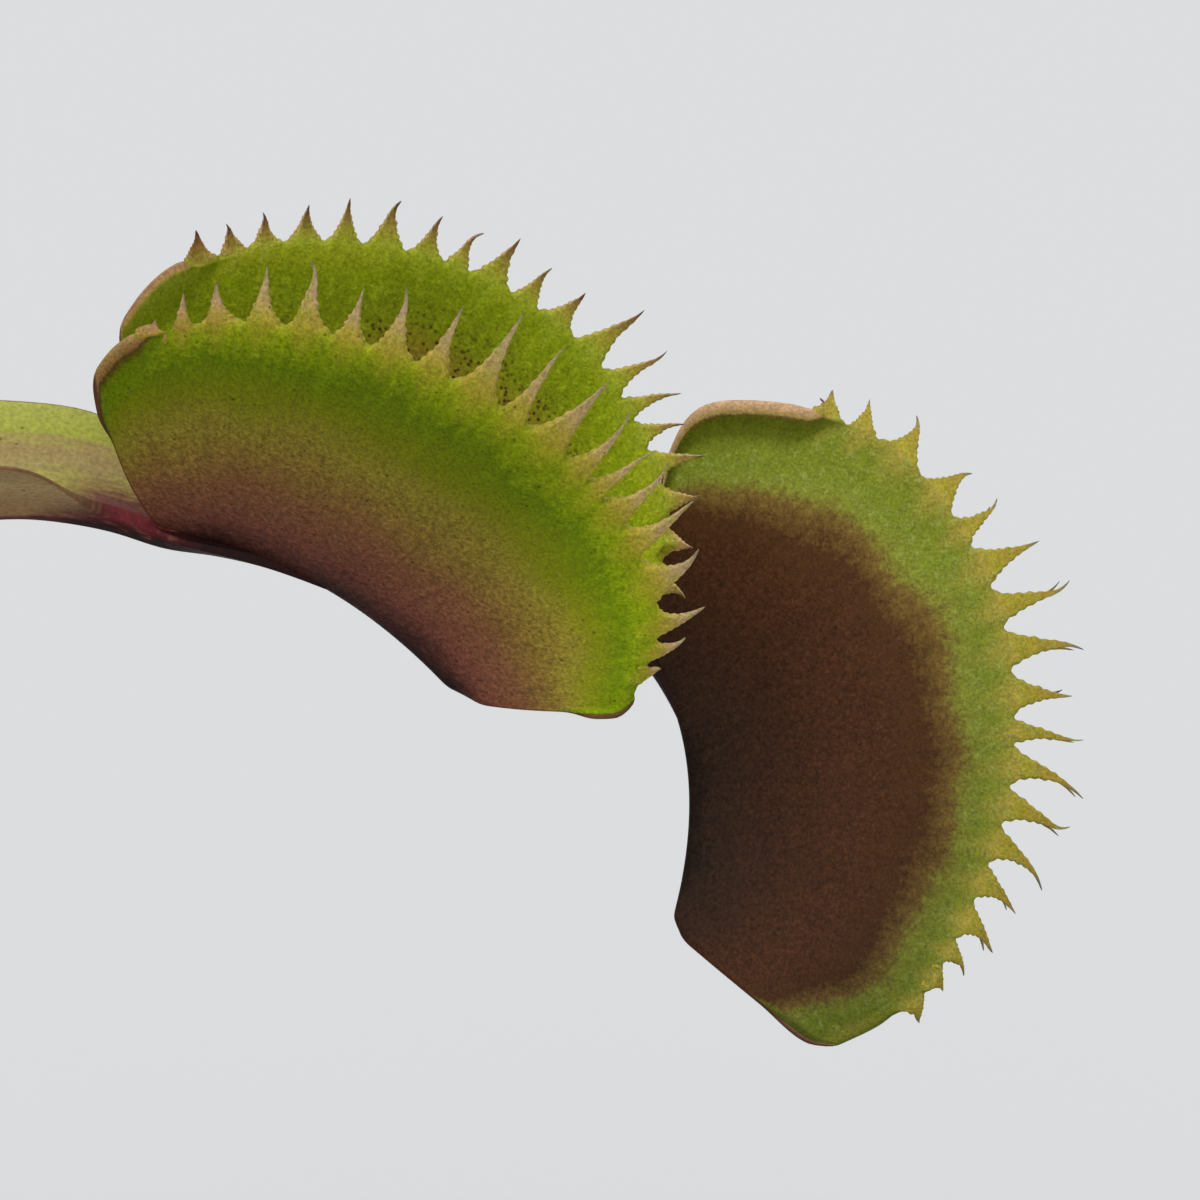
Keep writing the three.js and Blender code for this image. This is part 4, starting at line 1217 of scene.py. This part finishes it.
# %% Ground
# in mm; gap is what stays free between the soil and the pot's wall and floor
SOIL = {"level": 73.0, "crown_dip": 3.0, "relief": 1.1, "gap": 0.3}


def soil_height(x, y):
    r = np.hypot(x, y)
    dip = SOIL["crown_dip"] * np.exp(-(r / 16) ** 2)
    bumps = np.sin(0.21 * x + 1.3) * np.cos(0.19 * y - 0.6) + 0.5 * np.sin(0.47 * x - 0.33 * y + 2.1)
    calm = np.clip((POT["neck_radius"] - r) / 10, 0, 1)
    return SOIL["level"] - dip + SOIL["relief"] * bumps * calm * calm * (3 - 2 * calm)


gap = SOIL["gap"]
soil_edge = rim - wall - POT["rim_taper"] - 1.5 * gap
bottom = POT["floor"] + gap
soil = turned("potting_mix", [
    (wall_radius(bottom) - wall - gap, bottom), (wall_radius(neck - gap) - wall - gap, neck - gap),
    (soil_edge, neck + wall + gap), *[(r, SOIL["level"]) for r in np.linspace(soil_edge, 1.0, 56)],
])
rng = np.random.default_rng(7)
waves = [(rng.uniform(0.5, 2.6), rng.uniform(0, 2 * math.pi), rng.uniform(0, 2 * math.pi)) for _ in range(26)]


def ground_height(x, y):
    """The solid's surface with finer lumps on top, calm beside the pot's wall."""
    lumps = sum(0.16 / k * np.sin(k * (x * math.cos(a) + y * math.sin(a)) + phase) for k, a, phase in waves)
    return soil_height(x, y) + lumps * np.clip((soil_edge - np.hypot(x, y)) / 4, 0, 1)


at = read_points(soil)
top = at[:, 2] > SOIL["level"] - 0.01
at[top, 2] = ground_height(at[top, 0], at[top, 1])
write_points(soil, at)
print("ground points:", len(at))

# %% Peat
# Milled sphagnum peat kept damp: dark crumbs, dull all over, with a green bloom of moss here and there.
peat, tree = new_material("moist_peat")
mm = object_millimetres(tree)
fine = add_node(tree, "TexNoise", mm, 1 / 0.5, 6.0, 0.75)
coarse = add_node(tree, "TexNoise", mm, 1 / 6, 3.0)
tone = add_node(tree, "ValToRGB", fine,
                stops=[(0.25, "#150d08"), (0.5, "#33221a"), (0.68, "#5a4330"), (0.8, "#7a6248")])
mossy = add_node(tree, "MapRange", coarse, 0.56, 0.66, 0.0, 0.7)
tone = add_node(tree, "Mix", mossy, tone, linear("#4c5522"), data_type="RGBA")
set_surface(tree, fine, 0.9, 0.5, Base_Color=tone, Roughness=0.85, Specular_IOR_Level=0.25)
soil.data.materials.append(peat)
finish_piece(soil, "potting_mix", "soil")

# %% [markdown]
# ## Crumbs, perlite, fibres and moss
#
# Nobody sees a smooth top in a real pot. Each kind of grain is modelled once: a crumb is an icosphere with
# its points pushed about, a perlite grain a bevelled cube treated the same way, a fibre a bent rod, and a
# moss sprig a few pointed leaves in a spiral. A seeded draw then copies them over the ground, sunk a
# little into it. Particles would do the same, but plain copies are easier to check and to export.

# %% One grain of each kind


def push_about(obj, amount, seed):
    """Moves the points of a shape at random, by up to an amount in mm."""
    make_active(obj)
    bpy.ops.object.mode_set(mode="EDIT")
    bpy.ops.mesh.select_all(action="SELECT")
    bpy.ops.transform.vertex_random(offset=amount * MM, uniform=1.0, seed=seed)
    bpy.ops.object.mode_set(mode="OBJECT")
    return obj


def crumb(seed):
    deselect_all()
    bpy.ops.mesh.primitive_ico_sphere_add(subdivisions=1, radius=1.0 * MM)
    return push_about(bpy.context.object, 0.45, seed)


def perlite_grain(seed):
    deselect_all()
    bpy.ops.mesh.primitive_cube_add(size=1.7 * MM)
    grain = bpy.context.object
    cut = grain.modifiers.new("corners", "BEVEL")
    cut.width = 0.4 * MM
    cut.segments = 1
    apply_modifiers(grain)
    return push_about(grain, 0.28, seed)


def fibre():
    """A rod 10 mm long, bent like a hair of sphagnum or root."""
    rod = turned("fibre", [(0.1, 0), (0.2, 2), (0.16, 4), (0.2, 6), (0.14, 8), (0.05, 10)], sides=4)
    at = read_points(rod)
    t = at[:, 2] / 10
    at += np.stack([2.2 * np.sin(math.pi * t), 0.8 * np.sin(2 * math.pi * t), np.full_like(t, -5)], -1)
    write_points(rod, at)
    return rod


def moss_sprig():
    """Nine pointed leaves in a spiral, one above the other, 2.4 mm tall."""
    leaves = []
    for i in range(9):
        lean = math.radians(70 - 6 * i)
        way = Vector(bearing(2.4 * i) * math.sin(lean) + (0, 0, math.cos(lean)))
        deselect_all()
        bpy.ops.mesh.primitive_cone_add(
            vertices=3, radius1=0.26 * MM, depth=1.2 * MM, end_fill_type="NOTHING",
            location=(Vector((0, 0, 0.3 + 0.2 * i)) + 0.6 * way) * MM,
            rotation=way.to_track_quat("Z", "Y").to_euler())
        leaves.append(bpy.context.object)
    sprig = join(leaves, "moss_sprig")
    bpy.ops.object.transform_apply(location=True, rotation=True, scale=True)
    return sprig


# %% Finishes of the grains


def grain_finish(name, tones, speck, roughness, depth):
    """A rough earthy finish: tones goes by the copy's own tint, broken up by noise of a size in mm."""
    material, tree = new_material(name)
    noise = add_node(tree, "TexNoise", object_millimetres(tree), 1 / speck, 4.0, 0.7)
    tint = add_node(tree, "Attribute", attribute_name="tint", out="Fac")
    tone = add_node(tree, "Math", noise, 0.7, tint, operation="MULTIPLY_ADD")
    tone = add_node(tree, "Math", tone, 0.35, operation="SUBTRACT")
    tone = add_node(tree, "ValToRGB", tone, stops=tones)
    set_surface(tree, noise, 0.6, depth, Base_Color=tone, Roughness=roughness, Specular_IOR_Level=0.3)
    return material


# damp peat: nearly black where wet, tobacco brown where it dries out
peat_crumbs = grain_finish(
    "crumbly_peat", [(0.1, "#120b07"), (0.5, "#33221a"), (0.9, "#664a33")], 0.6, 0.9, 0.3)
# volcanic glass popped by heat: matt off-white foam with a little dirt on it
perlite = grain_finish(
    "expanded_perlite", [(0.1, "#9c9284"), (0.35, "#d6d1c6"), (0.9, "#efece4")], 0.35, 0.95, 0.2)
# dead sphagnum: straw and tan, dull
straw = grain_finish(
    "dry_sphagnum_fibre", [(0.1, "#4a3420"), (0.5, "#8a6a42"), (0.9, "#b89c6c")], 1.2, 0.8, 0.05)
# living moss: soft fresh green, yellower at its young tips
moss = grain_finish("living_moss", [(0.1, "#2f4412"), (0.5, "#587022"), (0.9, "#8c9c3a")], 1.0, 0.7, 0.05)

# %% Spread them
CROWN_CLEAR = 10.5  # mm from the middle that stay free


def ground_spots(rng, count, keep=lambda x, y: np.ones_like(x, bool)):
    """Random spots on the ground, between the crown and the wall, where keep says yes."""
    reach = soil_edge - 1.2
    r = np.sqrt(rng.uniform(CROWN_CLEAR ** 2, reach ** 2, 6 * count))
    a = rng.uniform(0, 2 * math.pi, 6 * count)
    x, y = r * np.cos(a), r * np.sin(a)
    kept = np.flatnonzero(keep(x, y))[:count]
    x, y = x[kept], y[kept]
    return np.stack([x, y, ground_height(x, y)], -1)


def any_turn(rng, least, most):
    """Tipped over by an angle between two limits, then turned to any side."""
    about_z = Matrix.Rotation(rng.uniform(0, 2 * math.pi), 3, "Z")
    return about_z @ Matrix.Rotation(rng.uniform(least, most), 3, "X")


def spread(name, template, spots, rng, size, squash, sink, material):
    """Copies with a size between two limits (small ones are common), turned at random and sunk a little."""
    places, tints = [], []
    for spot in spots:
        wide = size[0] + (size[1] - size[0]) * rng.uniform() ** 2.5
        tall = wide * rng.uniform(*squash)
        turn = any_turn(rng, 0, math.pi)
        places.append(placed(spot + (0, 0, wide * sink), turn, (wide, wide * rng.uniform(0.75, 1.0), tall)))
        tints.append(rng.uniform(0.15, 0.85))
    finish_piece(scatter(name, template, places, tints, material), "potting_mix", crease=35)


rng = np.random.default_rng(21)
for kind in range(3):
    spread(f"peat_crumbs_{kind + 1}", crumb(kind), ground_spots(rng, 330), rng, (0.35, 1.9), (0.6, 0.95), 0.1,
           peat_crumbs)
for kind in range(2):
    spread(f"perlite_grains_{kind + 1}", perlite_grain(kind + 5), ground_spots(rng, 75), rng, (0.45, 1.5),
           (0.65, 1.0), 0.15, perlite)

# %% Fibres and moss
places, tints = [], []
for x, y, _ in ground_spots(rng, 110):
    long = rng.uniform(0.35, 1.0)
    lying = any_turn(rng, math.pi / 2 - 0.2, math.pi / 2 + 0.2)
    inwards = min(1.0, (soil_edge - 5.5) / math.hypot(x, y))
    x, y = x * inwards, y * inwards
    places.append(placed((x, y, ground_height(x, y) + 0.35), lying, (long, 1.0, long)))
    tints.append(rng.uniform(0.2, 0.8))
finish_piece(scatter("sphagnum_fibres", fibre(), places, tints, straw), "potting_mix")


def mossy_ground(x, y):
    """Where the moss has taken hold: a few soft-edged cushions."""
    return np.sin(0.17 * x + 0.6) * np.cos(0.15 * y + 1.1) + 0.35 * np.sin(0.5 * x + 0.43 * y) > 0.42


places, tints = [], []
for spot in ground_spots(rng, 520, mossy_ground):
    tilt = any_turn(rng, 0, 0.4)
    tall = rng.uniform(0.7, 1.35)
    places.append(placed(spot - (0, 0, 0.3), tilt, (tall, tall, tall)))
    tints.append(rng.uniform(0.2, 0.8))
finish_piece(scatter("moss_cushions", moss_sprig(), places, tints, moss), "potting_mix")

# %% [markdown]
# ## Rhizome
#
# The rhizome is a short bulb of swollen leaf bases. The solid is a dome on a foot; here it is turned as one
# body, and thin pointed scales are laid over it like the scales of a bud. Each scale starts as a grid that
# is wrapped on the dome. The inner ones are pale and fleshy, and some of the outer ones have died back to
# brown.

# %% Bulb and sheaths
bulb = turned("rhizome_bulb", [
    (RHIZOME["foot_radius"], RHIZOME["foot"]),
    *[(RHIZOME["radius"] * math.sin(math.radians(a)),
       RHIZOME["centre"] + RHIZOME["radius"] * math.cos(math.radians(a)))
      for a in (96, 80, 66, 52, 40, 28, 18, 9)],
], sides=64)
SCALES = 24
SCALE_GRID = (11, 9)  # columns and rows
SPIRAL = 137.5  # degrees from one scale to the next, as leaves grow


def sheath_scale(index):
    """One scale, wrapped on the dome from its foot in the soil up to a pointed tip."""
    sheet, column, row = grid_sheet(f"scale_{index}", *SCALE_GRID)
    across = 2 * column / (SCALE_GRID[0] - 1) - 1
    up = row / (SCALE_GRID[1] - 1)
    outer = index / (SCALES - 1)
    lean = np.radians(100 + (62 * outer - 8 - 100) * up)
    half = np.radians(36 - 12 * outer) * np.clip(1 - up ** 2.4, 0, 1) ** 0.7 + 0.01
    azimuth = math.radians(SPIRAL * index) + across * half / np.maximum(np.sin(lean), 0.35)
    radius = RHIZOME["radius"] + 0.2 + 1.1 * outer + (0.3 + 0.9 * outer) * up ** 3 - 0.35 * across ** 2
    write_points(sheet, np.stack([radius * np.sin(lean) * np.cos(azimuth),
                                  radius * np.sin(lean) * np.sin(azimuth),
                                  RHIZOME["centre"] + radius * np.cos(lean)], -1))
    withered = outer > 0.7 and index % 2
    write_layers(sheet, {"rise": up, "tint": np.full(len(up), 1.0 if withered else 0.5)})
    thicken(sheet, 0.7, 0.25 + 0.45 * (1 - across ** 2) * (1 - up))
    return sheet


def bulb_finish(name, living):
    """Pale wet flesh that goes from its foot to its tip by the living stops, and brown where withered."""
    material, tree = new_material(name)
    rise, tint = (add_node(tree, "Attribute", attribute_name=kept, out="Fac") for kept in ("rise", "tint"))
    cloud = add_node(tree, "TexNoise", object_millimetres(tree), 1 / 1.6, 4.0)
    place = add_node(tree, "Math", cloud, 0.4, rise, operation="MULTIPLY_ADD")
    place = add_node(tree, "Math", place, 0.8, operation="MULTIPLY")
    tone = add_node(tree, "ValToRGB", place, stops=living)
    withered = add_node(tree, "MapRange", tint, 0.8, 0.95, 0.0, 0.8)
    tone = add_node(tree, "Mix", withered, tone, linear("#5c4331"), data_type="RGBA")
    set_surface(tree, cloud, 0.4, 0.2, Base_Color=tone, Roughness=0.5, IOR=1.4, Specular_IOR_Level=0.3)
    return material


bulb.data.materials.append(bulb_finish("pale_bulb_flesh", [(0.2, "#9aa060"), (0.6, "#8a944c")]))
finish_piece(bulb, "rhizome_flesh", "rhizome")
sheaths = join([sheath_scale(index) for index in range(SCALES)], "sheath_scales")
sheaths.data.materials.append(bulb_finish(
    "fleshy_sheath_scale", [(0.2, "#c9c796"), (0.5, "#a4ad62"), (0.78, "#8a944c"), (0.97, "#84563e")]))
finish_piece(sheaths, "rhizome_flesh")
print("sheath faces:", len(sheaths.data.polygons))

# %% [markdown]
# ## Trigger hairs
#
# Three stiff hairs stand on the inner face of each lobe, and two touches of them spring the trap. Each has
# a short thick foot, a narrow hinge and a long tapered bristle. That is a turned body of six sides, made
# once for each trap and copied to its places by the lobe formula.

# %% Trigger hairs
HAIR = [(0.15, 0), (0.15, 0.2), (0.07, 0.28), (0.09, 0.36), (0.08, 0.8), (0.05, 1.2), (0.012, 1.6)]
HAIR_SPOTS = ((0.36, 0.45), (0.64, 0.45), (0.5, 0.66))  # along the midrib, and from it to the margin
# a stiff bristle like horn: dark red, a little glossy
bristle, tree = new_material("dark_red_bristle")
cloud = add_node(tree, "TexNoise", object_millimetres(tree), 1 / 0.3, 2.0)
tone = add_node(tree, "ValToRGB", cloud, stops=[(0.3, "#3a1a14"), (0.7, "#6a3424")])
set_surface(tree, Base_Color=tone, Roughness=0.4)
for number, leaf in enumerate(LEAVES, 1):
    surface = LobeSurface(leaf)
    turn, shift = trap_place(leaf)
    places = []
    for side in (-1, 1):
        for along, up in HAIR_SPOTS:
            way = surface.inward(side, along, along, up)
            foot = surface.point(side, along, along, up) + way * (SHEET - 0.1)
            upright = Vector(way @ turn).to_track_quat("Z", "Y").to_matrix()
            places.append(placed(foot @ turn + shift, upright, (leaf["scale"],) * 3))
    hair = turned("hair", HAIR, sides=6)
    hairs = scatter(f"trap_{number}_trigger_hairs", hair, places, [0.5] * len(places), bristle)
    finish_piece(hairs, trap_slot(number))
